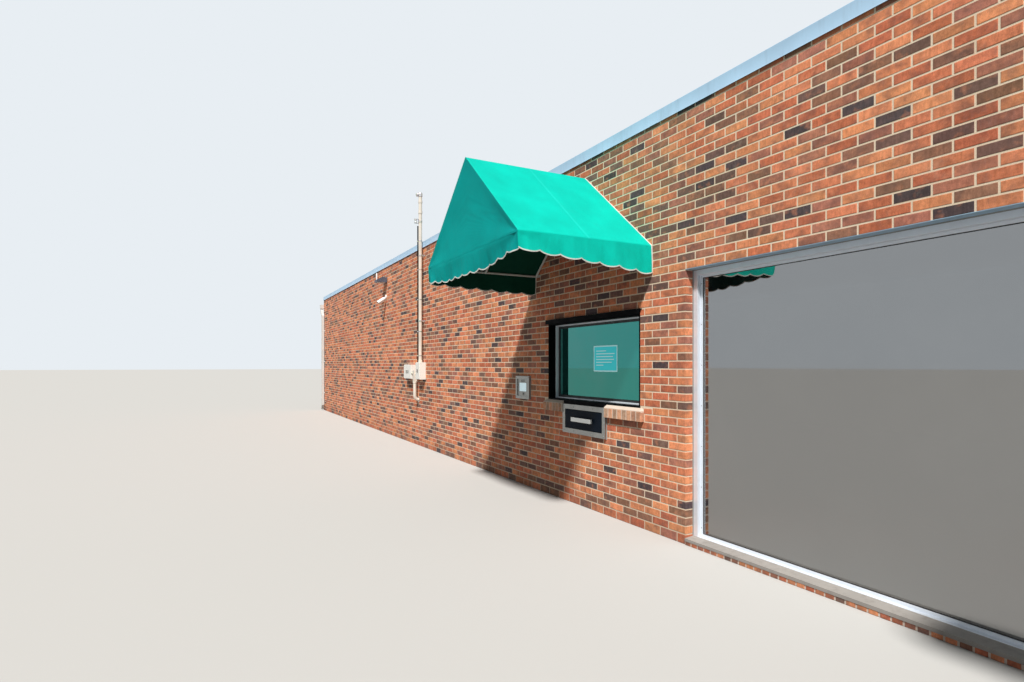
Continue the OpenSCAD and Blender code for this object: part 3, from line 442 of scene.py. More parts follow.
# Height of the joint over the first course, less one course
COURSE_RISE = 0.010
BRICK_DEPTH = 0.092
MORTAR_RECESS = 0.003
CHAMFER = 0.0022
SMALLEST_BRICK = 0.022
WALL_T = 0.300
X_END, Y_END = 10.973, 4.572
WALL_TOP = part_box("drive_side_wall")[1].z
CEILING = 3.180
BELOW_GROUND = -0.1
# Head joints on the drive side, in alternate courses, as the photograph shows them
FIRST_JOINTS = (0.0711, 0.1727)
# Shares of the colours in the wall
BRICK_COLOURS = (
    (0.26, srgb(232, 152, 110)),
    (0.21, srgb(222, 137, 102)),
    (0.17, srgb(208, 121, 90)),
    (0.12, srgb(180, 120, 101)),
    (0.11, srgb(154, 112, 92)),
    (0.08, srgb(124, 96, 88)),
    (0.05, srgb(86, 76, 79)),
)
OUTWARDS = (0, -1, 0)
UP = (0, 0, 1)


class Face:
    """One side of the building and its bond. u runs along it, v into the wall, z up.

    Courses 0, 2, 4... use the first of its joints and the others the second. Headers say for each
    end in which of the two, 0 or 1, the other wall's brick ends show. There the face's own bricks
    stop one brick depth short.
    """

    def __init__(self, origin, along, inward, length, joints, headers):
        self.origin = np.array(Vector(origin))
        self.axes = np.array((along, inward, UP), float)
        self.low, self.high = -length / 2, length / 2
        self.joints, self.headers = joints, headers
        self.turned = np.dot(np.cross(along, UP), inward) > 0

    def place(self, points):
        """Points (u, v, z) of the face as points of the frame."""
        return np.asarray(points) @ self.axes + self.origin


STREET_JOINTS = (-Y_END + MODULE / 2, -Y_END)
DRIVE = Face((0, -Y_END, 0), (1, 0, 0), (0, 1, 0), 2 * X_END, FIRST_JOINTS, (0, 1))
LOT = Face((0, Y_END, 0), (1, 0, 0), (0, -1, 0), 2 * X_END, FIRST_JOINTS, (0, 1))
STREET = Face((X_END, 0, 0), (0, 1, 0), (-1, 0, 0), 2 * Y_END, STREET_JOINTS, (0, 0))
REAR = Face((-X_END, 0, 0), (0, 1, 0), (1, 0, 0), 2 * Y_END, STREET_JOINTS[::-1], (1, 1))


class Place:
    """A node's box in a face's own places: its ends and its middle in u, v and z."""

    def __init__(self, face, node):
        ends = (np.array(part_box(node)) - face.origin) @ face.axes.T
        self.u0, self.v0, self.z0 = ends.min(0)
        self.u1, self.v1, self.z1 = ends.max(0)
        self.u, self.v, self.z = (ends.min(0) + ends.max(0)) / 2
        self.sides = (self.u0, self.u1, self.z0, self.z1)


def head_joints(face, course):
    """Places of a course's head joints with its two ends, and which ends show the other wall's bricks."""
    first = face.joints[course % 2]
    shows = [course % 2 == header for header in face.headers]
    start = face.low + (BRICK_DEPTH + JOINT / 2 if shows[0] else 0)
    end = face.high - (BRICK_DEPTH + JOINT / 2 if shows[1] else 0)
    numbers = range(math.ceil((start - first) / MODULE), math.floor((end - first) / MODULE) + 1)
    inner = [first + MODULE * n for n in numbers]
    return [start, *(u for u in inner if min(u - start, end - u) > MODULE * 0.3), end], shows


def lay_bricks(face, top, openings=()):
    """Boxes (u0, u1, z0, z1) of a face's bricks, cut at the openings, which are such boxes too."""
    bricks = []
    for course in range(math.ceil((top - COURSE_RISE - JOINT) / COURSE)):
        z0 = course * COURSE + COURSE_RISE + JOINT / 2 if course else 0.0
        z1 = min((course + 1) * COURSE + COURSE_RISE - JOINT / 2, top)
        joints, shows = head_joints(face, course)
        last = len(joints) - 2
        for number, (a, b) in enumerate(zip(joints[:-1], joints[1:])):
            u0 = a if number == 0 and not shows[0] else a + JOINT / 2
            u1 = b if number == last and not shows[1] else b - JOINT / 2
            parts = [(u0, u1, z0, z1)]
            for opening in openings:
                parts = [left for part in parts for left in cut_brick(part, opening)]
            bricks += [p for p in parts if min(p[1] - p[0], p[3] - p[2]) > SMALLEST_BRICK]
    return bricks


def cut_brick(brick, opening):
    """What is left of a brick beside, over or under an opening."""
    u0, u1, z0, z1 = brick
    overlap = min(z1, opening[3]) - max(z0, opening[2])
    if overlap <= 0 or min(u1, opening[1]) <= max(u0, opening[0]):
        return [brick]
    if overlap < 0.5 * (z1 - z0):
        return [(u0, u1, opening[3], z1) if opening[2] < z0 else (u0, u1, z0, opening[2])]
    return [(u0, min(u1, opening[0]), z0, z1), (max(u0, opening[1]), u1, z0, z1)]


def brick_boxes(face, bricks, rng):
    """Points, quads and colours of bricks as boxes with worn front edges."""
    b = np.asarray(bricks, float)
    count = len(b)
    u, z = b[:, [0, 1, 1, 0]], b[:, [2, 2, 3, 3]]
    uneven = rng.uniform(0, 0.0009, (count, 1)) + rng.uniform(0, 0.0005, (count, 4))
    inwards = np.array(((1, -1, -1, 1), (1, 1, -1, -1)))[:, None]
    worn = CHAMFER * rng.uniform(0.6, 1.5, (2, count, 4)) * inwards
    front = np.stack([u + worn[0], uneven, z + worn[1]], -1)
    rim, back = (np.stack([u, np.full(u.shape, v), z], -1) for v in (0.7 * CHAMFER, BRICK_DEPTH))
    points = np.concatenate([front, rim, back], 1).reshape(-1, 3)
    quads = [(0, 1, 2, 3), (11, 10, 9, 8)]
    for ring, i in itertools.product((0, 4), range(4)):
        j = (i + 1) % 4
        quads.append((ring + 4 + i, ring + 4 + j, ring + j, ring + i))
    quads = np.array(quads)[:, ::-1] if face.turned else np.array(quads)
    quads = (quads[None] + 12 * np.arange(count)[:, None, None]).reshape(-1, 4)
    return face.place(points), quads, np.repeat(brick_tones(count, rng), 12, axis=0)


def brick_tones(count, rng):
    """One colour for each brick, drawn from the mix in the wall."""
    shares = np.array([share for share, _ in BRICK_COLOURS])
    colours = np.array([colour for _, colour in BRICK_COLOURS])
    chosen = colours[rng.choice(len(shares), count, p=shares / shares.sum())]
    chosen[:, :3] *= rng.uniform(0.87, 1.22, (count, 1)) * rng.uniform(0.96, 1.04, (count, 3))
    return chosen


def carry_colours(mesh, colours):
    """Gives each point the colour of its brick, for the brick finish."""
    attribute = mesh.color_attributes.new("brick_colour", "FLOAT_COLOR", "POINT")
    attribute.data.foreach_set("color", np.concatenate(colours).astype(np.float32).ravel())


WALL_FINISHES = ("brick", "mortar", "room_paint", "roofing")


def mortar_core(face, half, top, openings):
    """The wall behind its bricks: mortar outside, paint in the room, membrane over the roof.

    It reaches as far as half on both sides of the face's middle.
    """
    holes = [(a - MORTAR_RECESS, b + MORTAR_RECESS, c, d) for a, b, c, d in openings]
    u_cuts = sorted({-half, half, *(h[i] for h in holes for i in (0, 1))})
    z_cuts = sorted({0.0, min(top, CEILING), top, *(max(0.0, h[i]) for h in holes for i in (2, 3))})
    points, index, quads, finish = [], {}, [], []

    def solid(i, k):
        if not (0 <= i < len(u_cuts) - 1 and 0 <= k < len(z_cuts) - 1):
            return False
        u, z = (u_cuts[i] + u_cuts[i + 1]) / 2, (z_cuts[k] + z_cuts[k + 1]) / 2
        return not any(h[0] < u < h[1] and h[2] < z < h[3] for h in holes)

    def add(finish_name, *corners):
        for corner in corners:
            if corner not in index:
                index[corner] = len(points)
                points.append((u_cuts[corner[0]], corner[2], z_cuts[corner[1]]))
        quads.append([index[corner] for corner in corners])
        finish.append(WALL_FINISHES.index(finish_name))

    for i, k in itertools.product(range(len(u_cuts) - 1), range(len(z_cuts) - 1)):
        if not solid(i, k):
            continue
        ring = ((i, k), (i + 1, k), (i + 1, k + 1), (i, k + 1))
        inside = "roofing" if z_cuts[k] > CEILING - JOINT else "room_paint"
        add("mortar", *((*p, MORTAR_RECESS) for p in ring))
        add(inside, *((*p, WALL_T) for p in ring[::-1]))
        for number, (di, dk) in enumerate(((0, -1), (1, 0), (0, 1), (-1, 0))):
            if not solid(i + di, k + dk):
                a, b = ring[number], ring[(number + 1) % 4]
                add("mortar", (*a, MORTAR_RECESS), (*a, WALL_T), (*b, WALL_T), (*b, MORTAR_RECESS))
    quads = np.array(quads)[:, ::-1] if face.turned else np.array(quads)
    return face.place(points), quads, finish


def brick_wall(name, parts, core):
    """One wall: its bricks, which are boxes on one or more faces, and the core that they sit in."""
    points, quads, core_finish = core
    parts = [*parts, (points, quads, np.ones((len(points), 4)))]
    starts = np.cumsum([0] + [len(part[0]) for part in parts])
    quads = np.concatenate([part[1] + start for part, start in zip(parts, starts)])
    finish = [0] * (len(quads) - len(core_finish)) + core_finish
    mesh = mesh_of(name + "_brickwork", np.concatenate([part[0] for part in parts]), quads, finish, False)
    carry_colours(mesh, [part[2] for part in parts])
    new_piece(name + "_brickwork", mesh, WALL_FINISHES, name + "_wall")


def opening(face, node, z0=None):
    """The rectangle (u0, u1, z0, z1) that a node takes up in a face, or that reaches down to z0."""
    place = Place(face, node)
    return (place.u0, place.u1, place.z0 if z0 is None else z0, place.z1)


STREET_WINDOWS_AT = 1.998
PLATE_W = 2.845
LINING_T, LINTEL_PLATE_T = 0.015, 0.010


def street_openings(z0):
    """The rectangles of the two windows in the street wall."""
    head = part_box("street_window_frames")[1].z
    return [(at - PLATE_W / 2, at + PLATE_W / 2, z0, head) for at in (-STREET_WINDOWS_AT, STREET_WINDOWS_AT)]


def by_end(bricks):
    """A cross wall's bricks in three lists: at the drive side's end, in the middle, at the lot side's end."""
    inner = Y_END - WALL_T
    groups = ([], [], [])
    for brick in bricks:
        middle = (brick[0] + brick[1]) / 2
        groups[1 + int(middle > inner) - int(middle < -inner)].append(brick)
    return groups


def make_walls():
    """The four walls. The corners belong to the side walls, with the cross walls' last bricks."""
    rng = np.random.default_rng(7)
    plate = opening(DRIVE, "drive_window_frame", BELOW_GROUND)
    entrance = opening(DRIVE, "entrance_frame", BELOW_GROUND)
    teller = opening(DRIVE, "teller_reveal_lining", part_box("teller_window_frame")[0].z - LINING_T)
    housing = opening(DRIVE, "drawer_housing")
    lintel = opening(DRIVE, "teller_lintel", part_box("teller_lintel")[1].z - LINTEL_PLATE_T)
    sill = opening(DRIVE, "teller_window_sill")
    lot_plate = opening(LOT, "lot_window_frame", BELOW_GROUND)
    door = opening(REAR, "rear_door_frame", BELOW_GROUND)
    street_windows = street_openings(BELOW_GROUND)
    street = by_end(lay_bricks(STREET, WALL_TOP, street_windows))
    rear = by_end(lay_bricks(REAR, CEILING, (door,)))
    # Over the rear wall the side walls still run up to the coping, and their ends show.
    above = by_end(brick for brick in lay_bricks(REAR, WALL_TOP) if brick[2] > CEILING - COURSE)
    behind_lining = (teller[0] + MORTAR_RECESS, teller[1] - MORTAR_RECESS, *teller[2:])
    for name, face, end, brick_cuts, core_cuts in (
        ("drive_side", DRIVE, 0, (plate, entrance, teller, housing, lintel, sill),
         (plate, entrance, behind_lining, housing)),
        ("lot_side", LOT, 2, (lot_plate,), (lot_plate,)),
    ):
        parts = [brick_boxes(face, lay_bricks(face, WALL_TOP, brick_cuts), rng),
                 brick_boxes(STREET, street[end], rng),
                 brick_boxes(REAR, rear[end] + above[end], rng)]
        brick_wall(name, parts, mortar_core(face, X_END - MORTAR_RECESS, WALL_TOP, core_cuts))
    for name, face, bricks, top, cuts in (
        ("street", STREET, street[1], WALL_TOP, street_windows),
        ("rear", REAR, rear[1], CEILING, (door,)),
    ):
        brick_wall(name, [brick_boxes(face, bricks, rng)], mortar_core(face, Y_END - WALL_T, top, cuts))


# Awnings: cloth over a tube frame, with two slopes, a gable front and a scalloped valance.
# Local places: x from the awning's middle, b from 0 at the wall to 1 at the front, z up.
EAVE_Z = 2.515
EAVE_RADIUS = 0.018
CLOTH_T = 0.002
CLOTH_INSET = 0.0035
SCALLOP = 0.022
SIDE_LOBES, FRONT_LOBES = 7, 11
LOBE_STEPS = 10
EAVE_STEPS = 6
GABLE_ROWS, VALANCE_ROWS = 16, 10
SLOPE_SAG = 0.014
GABLE_SAG = 0.010
CORNER_LIFT = 0.052
WALL_DROP = 0.050
# How far the valance's lower edge stands out at the sides, and hangs in at the front
FLARE, HANG = 0.026, 0.014
# Share of the valance that lies on the eave's tube
ON_TUBE = 0.2
# How far from a front corner the cloth is held by its seams
HELD_FOR = 0.09
# Sections of what is sewn on the cloth, as (across, up): hem tape, wall edge, lap and eave seam
HEM_TAPE = ((0.0012, -0.0015), (0.0016, 0.0085), (-0.0034, 0.0085), (-0.0030, -0.0015))
WALL_EDGE = ((0, -0.003), (0, 0.0025), (0.010, 0.0025), (0.012, -0.003))
LAP_SEAM = ((-0.011, -0.001), (-0.010, 0.0012), (0.010, 0.0012), (0.011, -0.001))
EAVE_SEAM = ((-0.010, -0.001), (-0.009, 0.0014), (0.009, 0.0014), (0.010, -0.001))
WELT_R, WELT_SIDES = 0.0028, 8


def smooth(value):
    """A ramp from 0 to 1 with soft ends."""
    value = np.clip(value, 0.0, 1.0)
    return value * value * (3 - 2 * value)


def lobes(places, pitch):
    """Drop of a scalloped edge below its cusps, made of arcs."""
    radius = (pitch ** 2 / 4 + SCALLOP ** 2) / (2 * SCALLOP)
    from_middle = (places % pitch) - pitch / 2
    return np.maximum(0, np.sqrt(radius ** 2 - from_middle ** 2) - (radius - SCALLOP))


def folds(p, q, size, count, reach, turn=0.0):
    """Folds that fan out from a corner: p and q are distances from it on the flat cloth."""
    distance = np.hypot(p, q)
    fan = np.cos(count * np.arctan2(q, p) + turn)
    return size * fan * np.exp(-distance / reach) * smooth(distance / 0.06)


def puckers(along):
    """Small upright wrinkles, at places in metres along a seam."""
    return 0.0028 * np.sin(68 * along) * np.sin(23 * along + 1.0)


def grid_of(x, y, z):
    """A grid of points from three arrays that broadcast together."""
    return np.stack(np.broadcast_arrays(x, y, z), -1)


class Awning:
    """The cloth of one awning, as grids of points on its two sides and its front."""

    def __init__(self, name):
        low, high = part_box(name + "_cover")
        self.centre = (low.x + high.x) / 2
        half_box = (high.x - low.x) / 2
        self.slope = math.atan((high.z - EAVE_Z) / half_box)
        self.half = half_box - CLOTH_INSET
        self.wall, self.front = high.y, low.y + CLOTH_INSET
        self.depth = self.wall - self.front
        self.valance = EAVE_Z - low.z - CLOTH_INSET
        # The slope's profile from the ridge down, with an arc over the eave's tube
        ridge = high.z - CLOTH_INSET / math.cos(self.slope)
        fall, past_arc = math.tan(self.slope), math.tan((math.pi / 2 - self.slope) / 2)
        self.eave = ridge - self.half * fall - EAVE_RADIUS * past_arc
        steps = FRONT_LOBES * LOBE_STEPS // 2
        along = np.arange(steps) * self.half / steps
        angle = np.linspace(self.slope, math.pi / 2, EAVE_STEPS)
        self.x = np.concatenate([along, self.half - EAVE_RADIUS * (1 - np.sin(angle))])
        self.z = np.concatenate([ridge - along * fall, self.eave + EAVE_RADIUS * np.cos(angle)])
        angles = np.concatenate([np.full(steps, self.slope), angle])
        self.normal_x, self.normal_z = np.sin(angles), np.cos(angles)
        self.from_eave = np.concatenate([(self.half - along) / math.cos(self.slope), np.zeros(EAVE_STEPS)])
        self.f = np.arange(1, VALANCE_ROWS + 1)[:, None] / VALANCE_ROWS

    def corner_share(self, sign):
        """The street side's front corner is pulled up the most."""
        return 1.0 if sign > 0 else 0.45

    def corner_shift(self, sign):
        """How far a corner of the valance hangs in from its edge, for each row down the valance."""
        share = self.corner_share(sign)
        return np.stack([-sign * 0.010 * share * self.f, 0.014 * share * self.f ** 1.5], -1)

    def hem_height(self, b, sign):
        """Height of a side's valance at b, without its lobes."""
        pulled = self.corner_share(sign) * (CORNER_LIFT * b ** 1.5 - WALL_DROP * (1 - b) ** 1.3)
        return self.valance - SCALLOP - pulled

    def normals(self, sign):
        """Unit vectors up from the slope at that end of x, along its profile."""
        return np.stack([sign * self.normal_x, 0 * self.normal_x, self.normal_z], -1)

    def side(self, sign):
        """Points of the side at that end of x: a row for each place on its profile, from the ridge down."""
        b = np.linspace(0, 1, SIDE_LOBES * LOBE_STEPS + 1)[None, :]
        from_wall, from_front = b * self.depth, (1 - b) * self.depth
        held = 1 - smooth(from_front / HELD_FOR)
        share = self.corner_share(sign)
        q = self.from_eave[:, None]
        taut = np.sin(np.pi * np.clip(q / q[0], 0, 1)) ** 0.75
        dip = -SLOPE_SAG * taut * np.sin(2 * np.pi * b) ** 2
        dip += 0.0035 * taut * np.sin(7 * b + 5 * q + sign) * np.sin(2 * np.pi * b) ** 2
        dip += folds(from_front, q, 0.004 * share, 7, 0.40) * (1 - held)
        dip += folds(from_wall, q, 0.003, 7, 0.22, 1.0) * smooth(from_wall / 0.05)
        free = smooth(from_wall / 0.08) * (1 - held)
        dip += puckers(from_wall) * free * np.exp(-q / 0.09) * smooth(q / 0.03)
        upper = grid_of(sign * (self.x[:, None] + self.normal_x[:, None] * dip), self.wall - from_wall,
                        self.z[:, None] + self.normal_z[:, None] * dip)
        f = self.f
        drop = self.hem_height(b, sign) + lobes(from_wall, self.depth / SIDE_LOBES)
        wave = 0.0075 * f ** 1.3 * np.sin(19 * b + 2.2 * f + 0.8 * sign) + 0.004 * f * np.sin(41 * b + 1.0)
        wave += folds(from_front, f * drop, 0.006 * share, 5, 0.28, 0.6)
        wave += puckers(from_wall + 0.02) * free * (1 - f) * smooth(f / 0.2)
        wave = wave * (1 - held) + FLARE * f * np.sin(np.pi * b) ** 0.5
        shift = self.corner_shift(sign) * held[..., None]
        lower = grid_of(sign * (self.half + wave) + shift[..., 0], self.wall - from_wall + shift[..., 1],
                        self.eave - f * drop)
        return np.concatenate([upper, lower])

    def gable(self):
        """Points of the front: a column for each place across it, from the slopes' edge down."""
        x = np.concatenate([-self.x[::-1], self.x[1:]])[None, :]
        top = np.concatenate([self.z[::-1], self.z[1:]])[None, :]
        g = np.linspace(0, 1, GABLE_ROWS + 1)[:, None]
        z = top + g * (self.eave - top)
        inside = smooth((top - z) * math.cos(self.slope) / 0.05)
        near = self.half - np.abs(x)
        share = np.where(x > 0, self.corner_share(1), self.corner_share(-1))
        dip = -GABLE_SAG * inside * np.sin(np.pi * np.clip(g, 0, 0.96)) * smooth(near / 0.3)
        dip += folds(near, self.eave - z, 0.005 * share, 7, 0.42) * inside
        upper = grid_of(x, self.front - dip, z)
        f = self.f
        held = 1 - smooth(near / HELD_FOR)
        slack = self.valance - SCALLOP + 0.012
        left, right = (self.hem_height(1.0, sign) for sign in (-1, 1))
        level = np.where(x > 0, right + (slack - right) * smooth(near / 0.75),
                         left + (slack - left) * smooth(near / 0.6))
        drop = level + lobes(x + self.half, 2 * self.half / FRONT_LOBES)
        wave = 0.010 * f ** 1.2 * np.sin(6.5 * x + 1.8 * f) + 0.005 * f * np.sin(21 * x + 2.0)
        wave += folds(near, f * drop, 0.008 * share, 5, 0.34, 0.5)
        wave += 1.3 * puckers(x + 3.0) * f
        wave = wave * (1 - held) - HANG * np.maximum(0, f - ON_TUBE)
        shift = np.where(x[..., None] > 0, self.corner_shift(1), self.corner_shift(-1)) * held[..., None]
        lower = grid_of(x + shift[..., 0], self.front - wave + shift[..., 1], self.eave - f * drop)
        return np.concatenate([upper, lower])

    def place(self, points):
        return np.asarray(points) + (self.centre, 0, 0)

    def strips(self, name, finishes, *groups):
        """A piece sewn on the cloth: groups of paths, each with its section and its finish's number."""
        parts = [swept(paths, section) for paths, section, _ in groups]
        finish = [number for (_, faces), (_, _, number) in zip(parts, groups) for _ in faces]
        points, faces = joined(parts)
        mesh = outward_mesh(name, self.place(points), faces, finish)
        return new_piece(name, mesh, finishes)


def swept(paths, section):
    """Points and faces of closed strips: a section of (across, up) carried along each path.

    A path is its points, and the unit vectors across the strip and up from it, or one for all.
    """
    points, faces = [], []
    for places, across, up in paths:
        faces += tube_faces(len(places), len(section), len(points))
        for place, a, u in zip(places, *np.broadcast_arrays(across, up, places)[:2]):
            points += [place + a * c + u * h for c, h in section]
    return np.array(points), faces


def grid_faces(rows, columns, first, flipped):
    """Quads of a grid of points, numbered row by row from first."""
    start = (np.arange(rows - 1)[:, None] * columns + np.arange(columns - 1)[None, :]).ravel() + first
    quads = np.stack([start, start + 1, start + columns + 1, start + columns], -1)
    return quads[:, ::-1] if flipped else quads


def merged_faces(points, quads):
    """The same faces on points of which no two lie in one place."""
    keys, numbers = np.unique(np.round(points, 5), axis=0, return_inverse=True)
    numbers = numbers.ravel()
    first = np.zeros(len(keys), int)
    first[numbers[::-1]] = np.arange(len(points))[::-1]
    faces = [[int(v) for i, v in enumerate(quad) if v != quad[i - 1]] for quad in numbers[quads]]
    return points[first], [face for face in faces if len(set(face)) > 2]


def thick_sheet(name, points, faces, thickness, crease):
    """A closed sheet, finished in 0 outside, in 1 inside and in 2 where its outside faces the front."""
    flat = mesh_of(name + "_flat", points, faces)
    normals = np.zeros(len(points) * 3, np.float32)
    flat.vertices.foreach_get("normal", normals)
    # Faces looking to the front take finish 2, which the awnings draw darker as painted shade on the side
    # turned from the light
    front = [2 if polygon.normal.y < -0.7 else 0 for polygon in flat.polygons]
    bpy.data.meshes.remove(flat)
    inner = points - normals.reshape(-1, 3) * thickness
    count = len(points)
    edges = dict.fromkeys(edge for face in faces for edge in zip(face, face[1:] + face[:1]))
    rim = [(b, a, a + count, b + count) for a, b in edges if (b, a) not in edges]
    all_faces = faces + [[v + count for v in face[::-1]] for face in faces] + rim
    finish = front + [1] * len(faces) + [0] * len(rim)
    mesh = mesh_of(name, np.concatenate([points, inner]), all_faces, finish)
    mesh.set_sharp_from_angle(angle=crease)
    return mesh


def make_awning(name):
    """One awning's cloth, its binding and its seams."""
    cloth = Awning(name)
    sides = {sign: cloth.side(sign) for sign in (1, -1)}
    front = cloth.gable()
    points, quads, first = [], [], 0
    for grid, flipped in ((sides[1], False), (sides[-1], True), (front, True)):
        points.append(grid.reshape(-1, 3))
        quads.append(grid_faces(*grid.shape[:2], first, flipped))
        first += len(points[-1])
    points, faces = merged_faces(np.concatenate(points), np.concatenate(quads))
    mesh = thick_sheet(name + "_cloth", cloth.place(points), faces, CLOTH_T, math.radians(55))
    # The cloth's inside is drawn dark green as painted shade, for its shaded underside
    # The faces turned to the front are the same cloth drawn darker, as painted shade
    finishes = ("awning_cloth", "awning_lining", "awning_front")
    canopy = new_piece(name + "_cloth", mesh, finishes, name + "_cover")

    # White tape folded over the scalloped hem, and a white edge along the wall
    hem = [(sides[1][-1], (1, 0, 0), UP), (front[-1], OUTWARDS, UP), (sides[-1][-1], (-1, 0, 0), UP)]
    edges, laps, welts = [], [], []
    for sign, grid in sides.items():
        up = cloth.normals(sign)
        slope = grid[:len(up)]
        edges.append((grid[:, 0], OUTWARDS, np.concatenate([up, np.tile((sign, 0, 0), (VALANCE_ROWS, 1))])))
        laps.append((slope[:, grid.shape[1] // 2], OUTWARDS, up))
        welts.append((slope[:, -1], OUTWARDS, up))
    binding = cloth.strips(name + "_binding", ("awning_binding",), (hem, HEM_TAPE, 0), (edges, WALL_EDGE, 0))

    # Seams: a lap at mid depth, a strip along the front eave and welts on the gable's edges. The lap and the
    # welts are drawn a lighter teal as painted highlight, and the eave strip darker as painted shade
    angles = np.arange(WELT_SIDES) * 2 * math.pi / WELT_SIDES
    welt = [(WELT_R * math.cos(t) - 0.0005, WELT_R * math.sin(t) + 0.0003) for t in angles]
    cloth.strips(name + "_seams", ("awning_seam", "awning_front"), (laps, LAP_SEAM, 0),
                 ([(front[GABLE_ROWS], UP, OUTWARDS)], EAVE_SEAM, 1), (welts, welt, 0))


def around(u, z, half_u, half_z):
    """The rectangle (u0, u1, z0, z1) round a place."""
    return (u - half_u, u + half_u, z - half_z, z + half_z)


def shrunk(sides, by):
    """A rectangle that is smaller by that much on each side."""
    u0, u1, z0, z1 = sides
    return (u0 + by, u1 - by, z0 + by, z1 - by)


def symmetric(half, middle):
    """A closed outline from its low half, whose first numbers are distances from the middle."""
    return [(middle - a, b) for a, b in half] + [(middle + a, b) for a, b in half[::-1]]


class Solids:
    """Closed solids of one piece, given in a face's own places (u, v, z), each with a finish."""

    def __init__(self, face):
        self.face = face
        self.parts, self.finish, self.finishes = [], [], {}

    def add(self, points, faces, finish):
        self.parts.append((self.face.place(points), faces))
        self.finish += [self.finishes.setdefault(finish, len(self.finishes))] * len(faces)

    def loft(self, rings, finish):
        """A solid through rings of as many points each, closed by its first and last ring."""
        self.add(np.concatenate([np.asarray(ring, float) for ring in rings]),
                 tube_faces(len(rings), len(rings[0])), finish)

    def prism(self, outline, axis, start, end, finish):
        """An outline in the two other places, extruded along u, v or z, which are axes 0, 1 and 2."""
        outline = np.asarray(outline, float)
        self.loft([np.insert(outline, axis, at, axis=1) for at in (start, end)], finish)

    def box(self, sides, v0, v1, finish, edge=0.001):
        """A box on a rectangle from v0 to v1, all its edges chamfered: three points at each corner."""
        u0, u1, z0, z1 = sides
        low, high = np.array((u0, v0, z0), float), np.array((u1, v1, z1), float)
        edge = min(edge, 0.4 * (high - low).min())
        ends = np.array(list(itertools.product((0, 1), repeat=3)))[:, None]
        points = np.where(ends, high, low) + edge * (1 - 2 * ends) * (1 - np.eye(3))
        # The point that lies on the side across an axis, at a corner given by its three ends
        number = np.arange(24).reshape(2, 2, 2, 3)
        faces = list(number.reshape(8, 3))
        square = ((0, 0), (1, 0), (1, 1), (0, 1))
        for axis in range(3):
            first, second = (other for other in range(3) if other != axis)
            low_end, high_end = np.moveaxis(number, axis, 0)
            faces += [[end[p][q][axis] for p, q in square] for end in (low_end, high_end)]
            faces += [[low_end[p][q][first], high_end[p][q][first], high_end[p][q][second],
                       low_end[p][q][second]] for p, q in square]
        self.add(points.reshape(-1, 3), faces, finish)

    def ring(self, sides, width, v0, v1, finish, edge=0.001):
        """Four members inside a rectangle: the uprights run through and the others lie between them."""
        u0, u1, z0, z1 = sides
        for a, b in ((u0, u0 + width), (u1 - width, u1)):
            self.box((a, b, z0, z1), v0, v1, finish, edge)
        for a, b in ((z0, z0 + width), (z1 - width, z1)):
            self.box((u0 + width, u1 - width, a, b), v0, v1, finish, edge)

    def turned(self, profile, at, finish, direction=OUTWARDS, sides=24):
        """A profile of (radius, distance) turned round a line from a place."""
        line = Vector(direction).normalized()
        side = line.orthogonal().normalized()
        angles = np.arange(sides) * 2 * math.pi / sides
        spokes = np.outer(np.cos(angles), side) + np.outer(np.sin(angles), line.cross(side))
        self.loft([np.array(at) + np.array(line) * d + r * spokes for r, d in profile], finish)

    def pin(self, u, v, z, half, radius, finish, edge=0.001):
        """An upright pin with its middle at a place."""
        length = 2 * half
        profile = [(radius - edge, 0), (radius, edge), (radius, length - edge), (radius - edge, length)]
        self.turned(profile, (u, v, z - half), finish, UP)

    def screw(self, at, radius, finish="galvanised", washer=0.0, direction=OUTWARDS):
        """A pan head, on a washer if one is given."""
        if washer:
            self.turned([(washer, 0), (washer, 0.0015), (0.7 * washer, 0.002)], at, finish, direction, 16)
        rise = 0.6 * radius + (0.0015 if washer else 0)
        head = [(radius, 0), (0.98 * radius, 0.45 * rise), (0.75 * radius, 0.85 * rise), (0.3 * radius, rise)]
        self.turned(head, at, finish, direction, 12)

    def screws(self, us, zs, v, radius, finish="galvanised", washer=0.0):
        """Screws that face outwards, at every one of the places us by zs."""
        for u, z in itertools.product(us, zs):
            self.screw((u, v, z), radius, finish, washer)

    def piece(self, name, slot, stands_for=None):
        points, faces = joined(self.parts)
        mesh = outward_mesh(name, points, faces, self.finish)
        return new_piece(name, mesh, self.finishes, stands_for)


# Frames of the plate windows and of the teller window
SETBACK, FRAME_D = 0.086, 0.114
PLATE_FACE, TELLER_FACE = 0.050, 0.014
STOP_W, STOP_FROM, STOP_TO = 0.020, 0.120, 0.150
PANE_FROM, PANE_TO = 0.130, 0.140
GASKET_W, GASKET_T = 0.005, 0.004
FRAME_EDGE = 0.0015
# Gap left between surfaces that would otherwise lie in one plane
SKIN = 0.0002
BEAD = 0.007
LINTEL_T = 0.004
STOP_SCREWS = 7


def window_frame(solids, sides, face_w, stop_finish):
    """Frame members, glazing stops on both sides of the pane, and the gaskets along them."""
    solids.ring(sides, face_w, SETBACK, SETBACK + FRAME_D, "window_metal", FRAME_EDGE)
    inner = shrunk(sides, face_w)
    for stop, gasket in (((STOP_FROM, PANE_FROM), (PANE_FROM - GASKET_T, PANE_FROM - SKIN)),
                         ((PANE_TO, STOP_TO), (PANE_TO + SKIN, PANE_TO + GASKET_T))):
        solids.ring(inner, STOP_W, *stop, stop_finish, FRAME_EDGE)
        solids.ring(shrunk(inner, STOP_W), GASKET_W, *gasket, "rubber")


def sealant(solids, section, u0, u1, z0, z1, past=0.0, closed=False):
    """Beads along the sides and the head of a rectangle, and along its foot if closed.

    The beads on its sides run on past their ends by that much.
    """
    for at, out in ((u0, -1), (u1, 1)):
        solids.prism([(at + out * a, b) for a, b in section], 2, z0 - past, z1 + past, "sealant")
    for at, out in ((z0, -1), (z1, 1))[0 if closed else 1:]:
        solids.prism([(b, at + out * a) for a, b in section], 0, u0, u1, "sealant")


